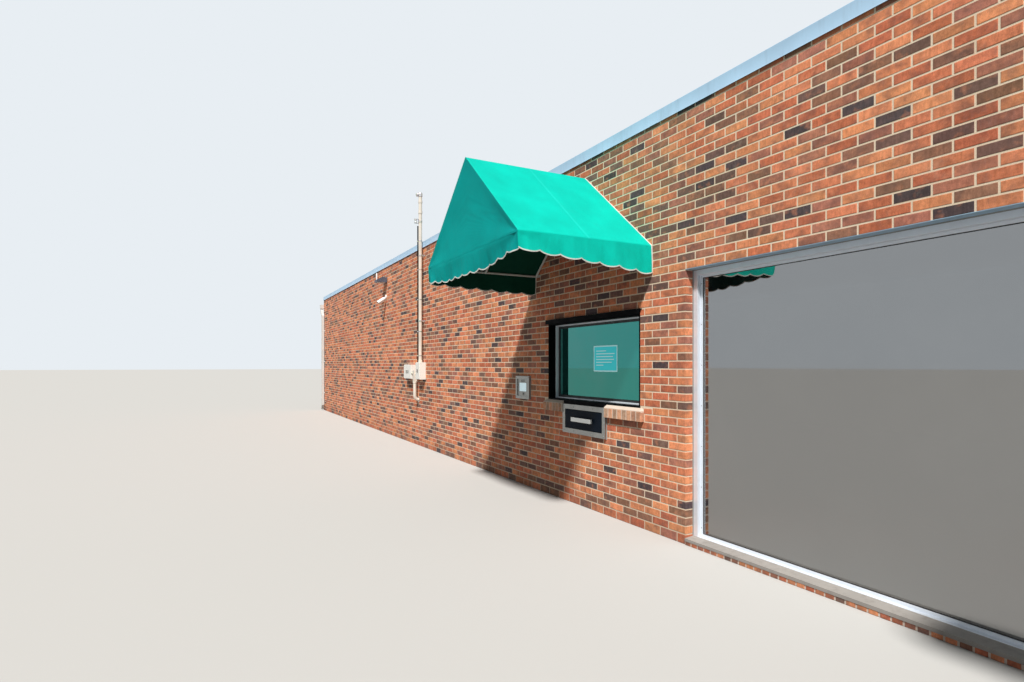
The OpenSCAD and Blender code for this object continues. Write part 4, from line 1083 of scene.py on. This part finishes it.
def frame_bead(v):
    """Section (out from the edge, v) of the sealant where a frame's face at v meets its opening."""
    return [(0, v), (0.5 * BEAD, v), (0.5 * BEAD, v - BEAD), (0, v - 0.9 * BEAD),
            (-0.4 * BEAD, v - 0.35 * BEAD), (-BEAD, v - SKIN)]


def plate_bead(size):
    """Section (out from the edge, v) of the sealant on the bricks round a plate."""
    return [(-0.5 * size, 0.002), (size, 0.002), (0.4 * size, -0.4 * size), (0, -size), (-0.5 * size, -size)]


def steel_soffit(solids, u0, u1, head):
    """The flange of the steel that carries the bricks over an opening."""
    sides = (u0 - LINTEL_T, u1 + LINTEL_T, head - LINTEL_T, head + 0.0008)
    # Its pale blue tint is painted sky reflection
    solids.box(sides, 0.0015, SETBACK - 0.0005, "lintel_paint")


# Sills of bricks on edge, laid in mortar
ROWLOCK_JOINT = 0.011
ROWLOCK_RECESS = 0.0035
MORTAR_SMEAR = srgb(232, 196, 164)


@dataclass
class RowlockSill:
    """A row of bricks on edge: its section, and the radius of a rounded upper corner at its outer end."""
    back: float
    front: float
    low: float
    top: float
    fall: float
    slopes_from: float
    wash: float = 0.0005
    smeared: float = 0.0
    radius: float = 0.0

    def section(self, u, inset, drop, from_end):
        """Points at u: drop below the top and inset from the front, at that distance from a rounded end."""
        reach = max(0.0, self.radius - from_end)
        limit = self.top - self.radius + math.sqrt(self.radius ** 2 - reach ** 2) - drop
        face, edge, top = self.front + inset, 0.004, self.top - drop
        nose = min(top - self.fall, limit)
        outline = [(self.back, self.low), (face + 0.001, self.low), (face, self.low + 0.001),
                   (face, nose - edge), (face + edge, nose - 0.001),
                   (self.slopes_from - 0.0005, min(top, limit)), (self.slopes_from, top), (self.back, top)]
        return [(u, v, z) for v, z in outline]

    def lay(self, bricks, colours, bed, rng, u0, u1, rounded=0):
        """Bricks and their bed from u0 to u1. The end on the side named by rounded, -1 or 1, is rounded."""
        end = u1 if rounded > 0 else u0
        shares = (0, 0.25, 0.45, 0.65, 0.85, 1) if rounded else ()
        marks = sorted({u0, u1, *(end - rounded * self.radius * share ** 2 for share in shares)})

        def section(u, at, inset, drop):
            return self.section(at, inset, drop, abs(end - u) if rounded else self.radius)

        bed.loft([section(u, u - rounded * 0.002 * (u == end), ROWLOCK_RECESS, 0.0) for u in marks],
                 "sill_mortar")
        count = max(1, round((u1 - u0) / COURSE))
        pitch = (u1 - u0) / count
        for number in range(count):
            a = u0 + number * pitch + (0 if rounded < 0 and number == 0 else ROWLOCK_JOINT / 2)
            b = u0 + (number + 1) * pitch - (0 if rounded > 0 and number == count - 1 else ROWLOCK_JOINT / 2)
            worn = 0.0025 * rng.uniform(0.7, 1.5)
            wander = rng.uniform(0, 0.0012)
            places = sorted({a, a + worn, b - worn, b, *(m for m in marks if a + worn < m < b - worn)})
            wear = [worn if u in (a, b) else 0 for u in places]
            bricks.loft([section(u, u, wander + w, self.wash + w) for u, w in zip(places, wear)], "brick")
            tone = brick_tones(1, rng) * (1 - self.smeared) + np.array(MORTAR_SMEAR) * self.smeared
            colours.append(np.repeat(tone, len(bricks.parts[-1][0]), axis=0))


PLATE_SILL = RowlockSill(SETBACK, -0.008, 0.0, 0.058, 0.009, SETBACK - 0.001)
STEP_FROM, STEP_TOP = SETBACK + FRAME_D, 0.100


def plate_window(solids, sides):
    """A plate window's frame, the steel over it and the metal pan on its sill."""
    u0, u1, z0, z1 = sides
    window_frame(solids, sides, PLATE_FACE, "window_metal")
    inset = PLATE_FACE + STOP_W / 2
    heights = np.linspace(z0 + 2 * inset, z1 - 2 * inset, STOP_SCREWS)
    solids.screws((u0 + inset, u1 - inset), heights, STOP_FROM, 0.004, "steel_trim")
    top, front = PLATE_SILL.top, PLATE_SILL.top - PLATE_SILL.fall
    sealant(solids, frame_bead(SETBACK), u0, u1, top, z1 - LINTEL_T)
    steel_soffit(solids, u0, u1, z1)
    out, back, sheet = PLATE_SILL.front - 0.0018, SETBACK - 2 * SKIN, 0.002
    pan = [(out, front - 0.020), (out, front + 1.5 * sheet), (back - 2 * sheet, top + 1.2 * sheet),
           (back - sheet, top + 0.005), (back, top + 0.005), (back, top + SKIN),
           (out + sheet, front + 2 * SKIN), (out + sheet, front - 0.020)]
    solids.prism(pan, 0, u0 + 0.001, u1 - 0.001, "sill_pan")


def make_plate_windows():
    """The plate windows' metal, their sill bricks, and the bed and step under those."""
    rng = np.random.default_rng(11)
    bricks, bed, colours = Solids(DRIVE), Solids(DRIVE), []
    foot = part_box("drive_window_frame")[0].z
    step = [(SETBACK, 0), (WALL_T, 0), (WALL_T, STEP_TOP), (STEP_FROM, STEP_TOP), (STEP_FROM, foot),
            (SETBACK, foot)]
    for side, face, windows, node in (
        ("drive", DRIVE, [opening(DRIVE, "drive_window_frame")], "drive_window_frame"),
        ("lot", LOT, [opening(LOT, "lot_window_frame")], "lot_window_frame"),
        ("street", STREET, street_openings(foot), "street_window_frames"),
    ):
        solids = Solids(face)
        bricks.face = bed.face = face
        for window in windows:
            plate_window(solids, window)
            PLATE_SILL.lay(bricks, colours, bed, rng, *window[:2])
            bed.prism(step, 0, *window[:2], "concrete")
        solids.piece(side + "_window_metal", "window_metal", node)
    carry_colours(bricks.piece("plate_sill_bricks", "brick").data, colours)
    bed.piece("plate_sill_beds", "brick", "plate_window_sills")


# The notice on the teller window's pane: its place, its border and its bars
NOTICE = (3.795, 4.191, 1.397, 1.664)
NOTICE_BORDER = 0.013
BARS_INSET, BARS_DOWN, BAR_H, BAR_PITCH = 0.045, 0.050, 0.010, 0.029
BAR_SHARES = (0.55, 1.0, 0.92, 0.97, 0.85, 0.4)


def make_notice():
    """A plain sheet with bars where the words would be."""
    sheet = Solids(DRIVE)
    u0, u1, _, z1 = NOTICE
    layers = [(NOTICE, 0.0006, 0.0002, "notice_edge"),
              (shrunk(NOTICE, NOTICE_BORDER), 0.0008, 0.0005, "notice")]
    for row, share in enumerate(BAR_SHARES):
        left, top = u0 + BARS_INSET, z1 - BARS_DOWN - BAR_PITCH * row
        bar = (left, left + share * (u1 - u0 - 2 * BARS_INSET), top - BAR_H, top)
        layers.append((bar, 0.0010, 0.0007, "notice_edge"))
    for sides, front, back, finish in layers:
        sheet.box(sides, PANE_FROM - front, PANE_FROM - back, finish, 0.0001)
    sheet.piece("teller_notice", "white_plastic")


def make_teller_window():
    """The teller window's frame and notice, its sill bricks, and the drawer trim's fixings."""
    solids = Solids(DRIVE)
    window_frame(solids, Place(DRIVE, "teller_window_frame").sides, TELLER_FACE, "rubber")
    solids.piece("teller_window_metal", "window_metal", "teller_window_frame")
    make_notice()

    place, trim = Place(DRIVE, "teller_window_sill"), Place(DRIVE, "drawer_trim")
    sill = RowlockSill(SETBACK, place.v0, place.z0, place.z1, fall=0.022, slopes_from=0.0,
                       wash=0.007, smeared=0.55, radius=0.036)
    rng = np.random.default_rng(12)
    bricks, bed, colours = Solids(DRIVE), Solids(DRIVE), []
    sill.lay(bricks, colours, bed, rng, place.u0, trim.u0, rounded=-1)
    sill.lay(bricks, colours, bed, rng, trim.u1, place.u1, rounded=1)
    carry_colours(bricks.piece("teller_sill_bricks", "brick").data, colours)
    bed.piece("teller_sill_bed", "brick", "teller_window_sill")

    fixings = Solids(DRIVE)
    u0, u1, z0, z1 = shrunk(trim.sides, 0.024)
    for us, zs in (((u0, u1), (z0, trim.z, z1)), ((trim.u - 0.17, trim.u + 0.17), (z0, z1))):
        fixings.screws(us, zs, trim.v0, 0.0055, "steel_trim", 0.008)
    sealant(fixings, plate_bead(0.006), *trim.sides, 0.006, closed=True)
    fixings.piece("drawer_trim_fixings", "steel_trim")


def make_speaker():
    """Card in its holder, sound holes, screws and the ring of the knob on the speaker plate."""
    plate = Place(DRIVE, "speaker_plate")
    floor_v, rim = plate.v0 + 0.012, 0.005
    half_card, card_low, card_top = 0.089, 1.142, 1.247
    card = (plate.u - half_card, plate.u + half_card, card_low, card_top)
    solids = Solids(DRIVE)
    solids.ring(shrunk(card, -rim), 1.2 * rim, floor_v - 0.003, floor_v, "steel_trim", 0.0008)
    solids.box(card, floor_v - 0.0012, floor_v - SKIN, "card", 0.0003)
    u0, u1, z0, z1 = shrunk(plate.sides, 0.017)
    solids.screws((u0, u1), (z0, z1), plate.v0, 0.0048, "steel_trim")
    pitch_u, pitch_z, lowest_row = 0.011, 0.010, 1.262
    for row, hole in itertools.product(range(3), range(-4, 5)):
        at = (plate.u + pitch_u * hole, floor_v - 0.0005, lowest_row + pitch_z * row)
        solids.turned([(0.0032, 0), (0.0032, 0.0006)], at, "rubber", sides=10)
    knob_ring = [(0.017, 0), (0.017, 0.003), (0.0145, 0.004)]
    solids.turned(knob_ring, (plate.u, floor_v, plate.z0 + 0.062), "steel_trim")
    sealant(solids, plate_bead(0.005), *plate.sides, 0.005, closed=True)
    solids.piece("speaker_fittings", "steel_trim")


# Copings: bent sheet, mitred at the street corners, with covers over its joints
COPING_OUT, COPING_H, COPING_BACK_H = 0.015, 0.110, 0.095
COPING_KICK, COPING_T, COPING_FOLD = 0.004, 0.0022, 0.003
COVER_PITCH, COVER_W, COVER_T = 3.048, 0.100, 0.001
SCREW_PITCH = 0.6096
SCREWS_DOWN, FIRST_SCREW = 0.060, 0.9
SIDE_SCREWS, HALF_STREET_SCREWS = 35, 7
# The street side's screws stand a little closer, so that the last ones clear the mitres
STREET_PITCH_SHARE = 0.97


def coping_section(grow=0.0):
    """Closed outline of the bent sheet, as (v, z), and the part of it that is its outer side."""
    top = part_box("street_coping")[1].z + grow
    face = COPING_OUT - COPING_KICK - COVER_T + grow
    back = -WALL_T - face
    low, low_back = top - COPING_H, top - COPING_BACK_H
    kick, sheet, fold = COPING_KICK, COPING_T, COPING_FOLD
    outer = [(face + kick, low), (face, low + 3 * kick), (face, top - fold), (face - fold, top),
             (back + fold, top), (back, top - fold), (back, low_back + 3 * kick), (back - kick, low_back)]
    inner = [(back - kick + sheet, low_back), (back + sheet, low_back + 3 * kick), (back + sheet, top - fold),
             (back + fold, top - sheet), (face - fold, top - sheet), (face - sheet, top - fold),
             (face - sheet, low + 3 * kick), (face + kick - sheet, low)]
    return [(-out, z) for out, z in outer + inner], len(outer)


def make_copings():
    """The coping sheets of three walls, with covers over their joints, and their screws."""
    section, outer = coping_section()
    cover, _ = coping_section(COVER_T)
    screw_v = WALL_T + COPING_OUT - COPING_KICK - COVER_T
    screw_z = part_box("street_coping")[1].z - SCREWS_DOWN
    for side, face in (("drive_side", DRIVE), ("lot_side", LOT), ("street", STREET)):
        solids = Solids(face)
        high, end = face.high, face.low - COPING_OUT
        mitred = [(high - v, v, z) for v, z in section]
        if face is STREET:
            solids.loft([[(-u, v, z) for u, v, z in mitred], mitred], "coping")
            joints = [number * COVER_PITCH for number in (-1, 0, 1)]
            numbers = np.arange(-HALF_STREET_SCREWS, HALF_STREET_SCREWS + 1)
            screws = numbers * SCREW_PITCH * STREET_PITCH_SHARE
        else:
            solids.loft([[(end, v, z) for v, z in section], mitred], "coping")
            solids.prism(section[:outer], 0, end, end + COPING_T, "coping")
            joints = [high - number * COVER_PITCH for number in range(1, 8)]
            screws = high - FIRST_SCREW - np.arange(SIDE_SCREWS) * SCREW_PITCH
        for at in joints:
            solids.prism(cover, 0, at - COVER_W / 2, at + COVER_W / 2, "coping")
        for at in screws:
            solids.screw((at, screw_v, screw_z), 0.004, washer=0.0065, direction=(0, 1, 0))
        solids.piece(side + "_coping_metal", "coping", side + "_coping")


def make_roof_edges():
    """Membrane turned up the walls over the roof, and a drip edge over the gutter."""
    roof_high, roof_low = (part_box(node)[1].z for node in ("roof_deck", "rear_gutter"))
    top = WALL_TOP - 0.022
    foot_w, bar_t = 0.070, 0.0022
    inside, hidden = WALL_T + 0.005, WALL_T - 0.002
    rear, street, half = -X_END, X_END - WALL_T, Y_END - WALL_T

    def turned_up(u, z):
        outline = [(hidden, z - 0.01), (WALL_T + foot_w, z - 0.01), (WALL_T + foot_w, z + 0.003),
                   (WALL_T + 0.5 * foot_w, z + 0.006), (inside + 0.001, min(z + 0.03, top - 0.004)),
                   (inside, top), (hidden, top)]
        return [(u, *place) for place in outline]

    solids = Solids(DRIVE)
    bar = [(inside, top - 0.016), (inside + bar_t, top - 0.016), (inside + bar_t, top + 0.002),
           (inside, top + 0.002)]
    for face in (DRIVE, LOT):
        solids.face = face
        solids.loft([turned_up(rear + 0.002, roof_low), turned_up(street - 0.002, roof_high)], "roofing")
        solids.prism(bar, 0, rear + 0.01, street - 0.01, "galvanised")
    solids.face = STREET
    solids.loft([turned_up(u, roof_high) for u in (0.001 - half, half - 0.001)], "roofing")
    solids.face = REAR
    drip = [(0.120, 0.0024), (-0.010, 0.0016), (-0.012, 0), (-0.012, -0.045), (-0.0105, -0.045),
            (-0.0105, -0.001), (-0.009, 0.0003), (0.120, 0.0003)]
    solids.prism([(v, roof_low + rise) for v, rise in drip], 0, 0.002 - half, half - 0.002, "rainware")
    solids.piece("roof_flashings", "roofing")


def make_rainware():
    """Hangers in the gutter, and straps and sleeves round the downspout."""
    gutter = Place(REAR, "rear_gutter")
    solids = Solids(REAR)
    count, from_end, top = 13, 0.25, gutter.z1 - 0.007
    for u in np.linspace(gutter.u0 + from_end, gutter.u1 - from_end, count):
        hanger = (u - 0.012, u + 0.012, top - 0.003, top)
        solids.box(hanger, gutter.v0 + 0.0035, -0.0035, "galvanised", 0.0006)
        solids.screw((u, gutter.v0 + 0.020, top), 0.004, direction=UP)
    solids.face = DRIVE
    pipe = Place(DRIVE, "downspout")
    half, middle, sheet, foot = 0.050, -X_END + 0.110, 0.002, 0.038
    foot_back, foot_front, front = -0.0005, -0.0025, pipe.v0
    strap = [(half, front), (half, foot_back), (half + foot, foot_back), (half + foot, foot_front),
             (half + sheet, foot_front), (half + sheet, front - sheet)]
    sleeve = [(half, front), (half, pipe.v1), (half + sheet, pipe.v1), (half + sheet, front - sheet)]
    for outline, height, places in ((strap, 0.030, (0.55, 1.55, 2.55)), (sleeve, 0.022, (0.205, 2.990))):
        for z in places:
            solids.prism(symmetric(outline, middle), 2, z, z + height, "rainware")
            if outline is strap:
                reach = half + 0.6 * foot
                solids.screws((middle - reach, middle + reach), (z + height / 2,), foot_front, 0.005)
    solids.piece("rainware_straps", "rainware")


def make_awning_fixings():
    """Plates and bolts where the awnings' tubes meet the wall."""
    solids = Solids(DRIVE)
    reach, half, t, bolt, washer = 0.075, 0.015, 0.004, 0.0045, 0.007
    for name in ("teller_awning", "entrance_awning"):
        tubes = Place(DRIVE, name + "_frame")
        z = tubes.z0 + half
        for at, side in ((tubes.u0 + half, 1), (tubes.u1 - half, -1)):
            solids.box((*sorted((at, at + side * reach)), z - half, z + half), -t, -0.0003, "awning_tube")
            solids.screws([at + side * share * reach for share in (0.4, 0.8)], (z,), -t, bolt, washer=washer)
        at, z = tubes.u, tubes.z1 - half
        solids.box((at - half, at + half, z - reach, z), -t, -0.0003, "awning_tube")
        solids.screws((at,), [z - share * reach for share in (0.45, 0.8)], -t, bolt, washer=washer)
    solids.piece("awning_wall_plates", "awning_tube")


MAST_R, SLIM_R = 0.03015, 0.011
MAST_STRAPS = (2.235, 3.400)
CLIPS, CLIP_H = (1.62, 2.05, 2.62, 3.15, 3.66), 0.018
CLAMP_Z = 4.017
BOX_LATCHES = {"meter_box": (0.5,), "junction_box": (0.38, 0.62)}


def mast_fittings(solids):
    """Strap bolts, the clips between the mast and the slim conduit, and the clamp's screws."""
    mast, slim = Place(DRIVE, "service_mast"), Place(DRIVE, "mast_slim_conduit")
    reach, half_strap, strap_v, clamp_reach = 0.050, 0.0125, -0.005, 0.0345
    for z in MAST_STRAPS:
        us = (mast.u - reach, mast.u + reach)
        solids.screws(us, (z + half_strap,), strap_v, 0.0065, washer=0.009)
    share = (MAST_R + 0.0035) / math.dist((mast.u, mast.v), (slim.u, slim.v))
    u, v = mast.u + share * (slim.u - mast.u), mast.v + share * (slim.v - mast.v)
    for z in CLIPS:
        for pipe, r in ((slim, SLIM_R), (mast, MAST_R)):
            band = [(r + 0.0005, 0), (r + 0.0022, 0.001), (r + 0.0022, CLIP_H - 0.001), (r + 0.0005, CLIP_H)]
            solids.turned(band, (pipe.u, pipe.v, z), "galvanised", UP, 32)
        solids.box((u - 0.009, u + 0.009, z, z + CLIP_H), v - 0.009, v + 0.009, "galvanised")
    for side in (-1, 1):
        at = (mast.u + side * clamp_reach, mast.v, CLAMP_Z)
        solids.screw(at, 0.006, washer=0.009, direction=(side, 0, 0))


def make_service_details():
    """Bolts, clips, hinges and latches on the mast, the boxes and the conduit."""
    solids = Solids(DRIVE)
    mast_fittings(solids)
    hinge_in, screws_in = 0.050, 0.022
    for node, latches in BOX_LATCHES.items():
        box = Place(DRIVE, node)
        front = box.v0
        for share in latches:
            u = box.u0 + share * (box.u1 - box.u0)
            solids.box(around(u, box.z, 0.016, 0.028), front - 0.007, front + 0.001, "rubber", 0.002)
            solids.pin(u, front - 0.010, box.z, 0.020, 0.005, "galvanised")
        for z in (box.z0 + hinge_in, box.z1 - hinge_in):
            solids.pin(box.u0 - 0.0035, front + 0.012, z, 0.022, 0.005, "box_paint")
        u0, u1, z0, z1 = shrunk(box.sides, screws_in)
        solids.screws((u0, u1), (z0, z1), front, 0.004)
    elbow = Place(DRIVE, "conduit_elbow")
    run_v, run_z, front = -0.060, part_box("meter_box")[0].z + 0.100, -0.105
    collar = [(0.0285, 0), (0.0305, 0.002), (0.0305, 0.012), (0.0285, 0.014)]
    for u, side in ((elbow.u0, 1), (elbow.u1, -1)):
        solids.turned(collar, (u, run_v, run_z), "galvanised", (side, 0, 0))
    lid = (elbow.u - 0.028, elbow.u + 0.028, run_z - 0.135, run_z + 0.052)
    solids.ring(lid, 0.005, front - 0.002, front + 0.0005, "galvanised", 0.0008)
    solids.screws((elbow.u,), (lid[2] + 0.015, lid[3] - 0.015), front, 0.005)
    flange = [(0.050, 0.001), (0.052, -0.001), (0.052, -0.004), (0.038, -0.007)]
    solids.turned(flange, (elbow.u, 0, 0.830), "galvanised", (0, 1, 0), 32)
    solids.piece("service_fittings", "galvanised")


def make_light_details():
    """Lens and sensor sleeve on the wall light, and the camera's lens, ring and screws."""
    light = Place(DRIVE, "wall_light")
    u, z, lens_in = light.u, light.z0, 0.018
    solids = Solids(DRIVE)
    sleeve = [(0.0126, 0), (0.0138, 0.001), (0.0138, 0.1565), (0.0120, 0.1592), (0.004, 0.1598)]
    solids.turned(sleeve, (u, light.v0 + 0.024, z + 0.034), "white_plastic", UP)
    lens = [(-0.205, 0.004), (-0.205, -0.006), (-0.195, -0.010), (-0.040, -0.010), (-0.030, -0.006),
            (-0.030, 0.004)]
    solids.prism([(v, z + rise) for v, rise in lens], 0, light.u0 + lens_in, light.u1 - lens_in, "lens")
    solids.screws((u - 0.048, u + 0.048), (z + 0.107,), -0.012, 0.004)
    solids.piece("wall_light_details", "white_plastic")

    arm_z, camera_z, camera_v, tilt = 2.925, 2.840, -0.100, math.radians(35)
    line = Vector((0, -math.cos(tilt), -math.sin(tilt)))
    nose = Vector((u, camera_v, camera_z)) + line * 0.075
    solids = Solids(DRIVE)
    for profile, finish, sides in (
        ([(0.0425, -0.001), (0.0425, 0.004), (0.037, 0.006), (0.034, 0.0015)], "white_plastic", 40),
        ([(0.034, 0.0), (0.034, 0.0016), (0.020, 0.003), (0.004, 0.0035)], "rubber", 40),
        ([(0.012, 0.002), (0.012, 0.007), (0.009, 0.0085), (0.003, 0.0088)], "lens_dark", 24),
    ):
        solids.turned(profile, nose, finish, line, sides)
    spread = 0.034 * math.cos(math.radians(45))
    solids.screws((u - spread, u + spread), (arm_z - spread, arm_z + spread), -0.020, 0.0038)
    solids.piece("camera_details", "white_plastic")


HINGE_IN, HINGE_FROM_END = 0.004, 0.20


def door_fittings(solids, door, foot):
    """The threshold under a door, and three knuckles along its hinge stile."""
    profile = [(-0.012, 0), (0.004, 0.0026), (0.110, 0.0026), (0.126, 0)]
    sill = [(SETBACK + v, foot + rise) for v, rise in profile]
    solids.prism(sill, 0, door.u0 - 0.002, door.u1 + 0.002, "steel_trim")
    for z in (door.z0 + HINGE_FROM_END, door.z, door.z1 - HINGE_FROM_END):
        solids.pin(door.u1 - HINGE_IN, door.v0 - 0.0072, z, 0.055, 0.006, "steel_trim")


def make_entrance_details():
    """Glazing stops, hinges, threshold, lock and closer of the entrance."""
    opened, door = Place(DRIVE, "entrance_frame"), Place(DRIVE, "entrance_door")
    foot, front = opened.z0, door.v0
    # The door is measured from its threshold
    door.z0, door.z = foot, (foot + door.z1) / 2
    solids = Solids(DRIVE)
    sealant(solids, frame_bead(SETBACK), opened.u0, opened.u1, foot, opened.z1 - LINTEL_T)
    steel_soffit(solids, opened.u0, opened.u1, opened.z1)
    stile, kick, gap, face, lap = 0.090, 0.180, 0.003, 0.050, 0.002
    door_glass = (door.u0 + stile, door.u1 - stile, foot + kick, door.z1 - stile)
    side_glass = (opened.u0 + face, door.u0 - gap - face, foot + face, door.z1 + gap)
    for glass, stop_from, pane, width in ((door_glass, front - 0.0005, front + 0.0175, 0.012),
                                          (side_glass, STOP_FROM - lap, 0.143, 0.014)):
        stop_to = pane - 0.006
        solids.ring(glass, width, stop_from, stop_to, "window_metal", 0.002)
        solids.ring(shrunk(glass, lap), width + GASKET_W - lap, stop_to, pane - 0.0003, "rubber")
        solids.ring(shrunk(glass, width), lap, stop_from + 0.003, stop_to, "rubber", 0.0005)
    door_fittings(solids, door, foot)
    lock_u, handle_z, half_grip = door.u0 + stile / 2, 1.050, 0.125
    lock_z = handle_z + 0.240
    cylinder = [(0.016, 0), (0.016, 0.003), (0.013, 0.007), (0.006, 0.0075)]
    solids.turned(cylinder, (lock_u, front, lock_z), "steel_trim", sides=32)
    solids.box(around(lock_u, lock_z, 0.0012, 0.006), front - 0.0082, front - 0.007, "rubber", 0.0003)
    for z in (handle_z - half_grip, handle_z + half_grip):
        solids.turned([(0.017, 0), (0.017, 0.003), (0.012, 0.005)], (lock_u, front, z), "steel_trim")
    closer_d = 0.040
    closer = (door.u0 + 0.16, door.u0 + 0.42, door.z1 - 0.075, door.z1 - 0.020)
    solids.box(closer, door.v1, door.v1 + closer_d, "window_metal", 0.004)
    solids.piece("entrance_fittings", "window_metal")


def make_rear_door_details():
    """Hinges, kick plate, deadbolt, threshold and drip cap of the service door."""
    opened, door, knob = (Place(REAR, "rear_door" + part) for part in ("_frame", "", "_handle"))
    front, head, plate_t, above_knob = door.v0, opened.z1, 0.0012, 0.130
    solids = Solids(REAR)
    sealant(solids, frame_bead(SETBACK), *opened.sides)
    door_fittings(solids, door, opened.z0)
    kick = (door.u0 + 0.030, door.u1 - 0.030, door.z0 + 0.012, door.z0 + 0.215)
    solids.box(kick, front - plate_t, front + 0.0005, "steel_trim", 0.0005)
    u0, u1, z0, z1 = shrunk(kick, 0.015)
    solids.screws((u0, door.u, u1), (z0, z1), front - plate_t, 0.004, "steel_trim")
    deadbolt = [(0.019, 0), (0.019, 0.004), (0.016, 0.009), (0.007, 0.0095)]
    solids.turned(deadbolt, (knob.u, front, knob.z + above_knob), "steel_trim", sides=32)
    cap = [(SETBACK, 0.004), (0.030, 0.013), (0.030, 0.021), (0.032, 0.021), (0.032, 0.0145),
           (SETBACK, 0.007)]
    solids.prism([(v, head - drop) for v, drop in cap], 0, opened.u0 + 0.001, opened.u1 - 0.001, "door_paint")
    solids.piece("rear_door_fittings", "steel_trim")


def make_floor():
    """The studio's floor, just under the building."""
    half = FLOOR_SIZE / 2
    mesh = mesh_of("floor", [(-half, -half, 0), (half, -half, 0), (half, half, 0), (-half, half, 0)],
                   [(0, 1, 2, 3)], smooth_shaded=False)
    floor = add_object("floor", mesh)
    floor.location.z = -0.002
    f = Finish("studio_floor", FLOOR_SEEN, 0.95, Specular_IOR_Level=0.0)
    f.colour(f.mix(seen_directly(f.tree), FLOOR_LIT, FLOOR_SEEN))
    mesh.materials.append(f.material)


# Solids whose finish is a variant of their slot's
NODE_FINISHES = {"service_mast": "mast_paint", "conduit_elbow": "mast_paint", "drawer_pull": "bright_steel"}


def finish_nodes():
    """Each carried-over solid takes the finish of its material slot in the record."""
    for entry in frame["record"]["subparts"]:
        node = frame["nodes"][entry["node"]]
        node.data.materials.clear()
        node.data.materials.append(FINISHES[NODE_FINISHES.get(entry["node"], entry["material_slot"])])


bpy.context.scene.view_settings.view_transform = "Standard"
make_camera()
make_light()
make_floor()
finish_nodes()
make_walls()
for name in ("teller_awning", "entrance_awning"):
    make_awning(name)
make_plate_windows()
make_teller_window()
make_speaker()
make_copings()
make_roof_edges()
make_rainware()
make_awning_fixings()
make_service_details()
make_light_details()
make_entrance_details()
make_rear_door_details()
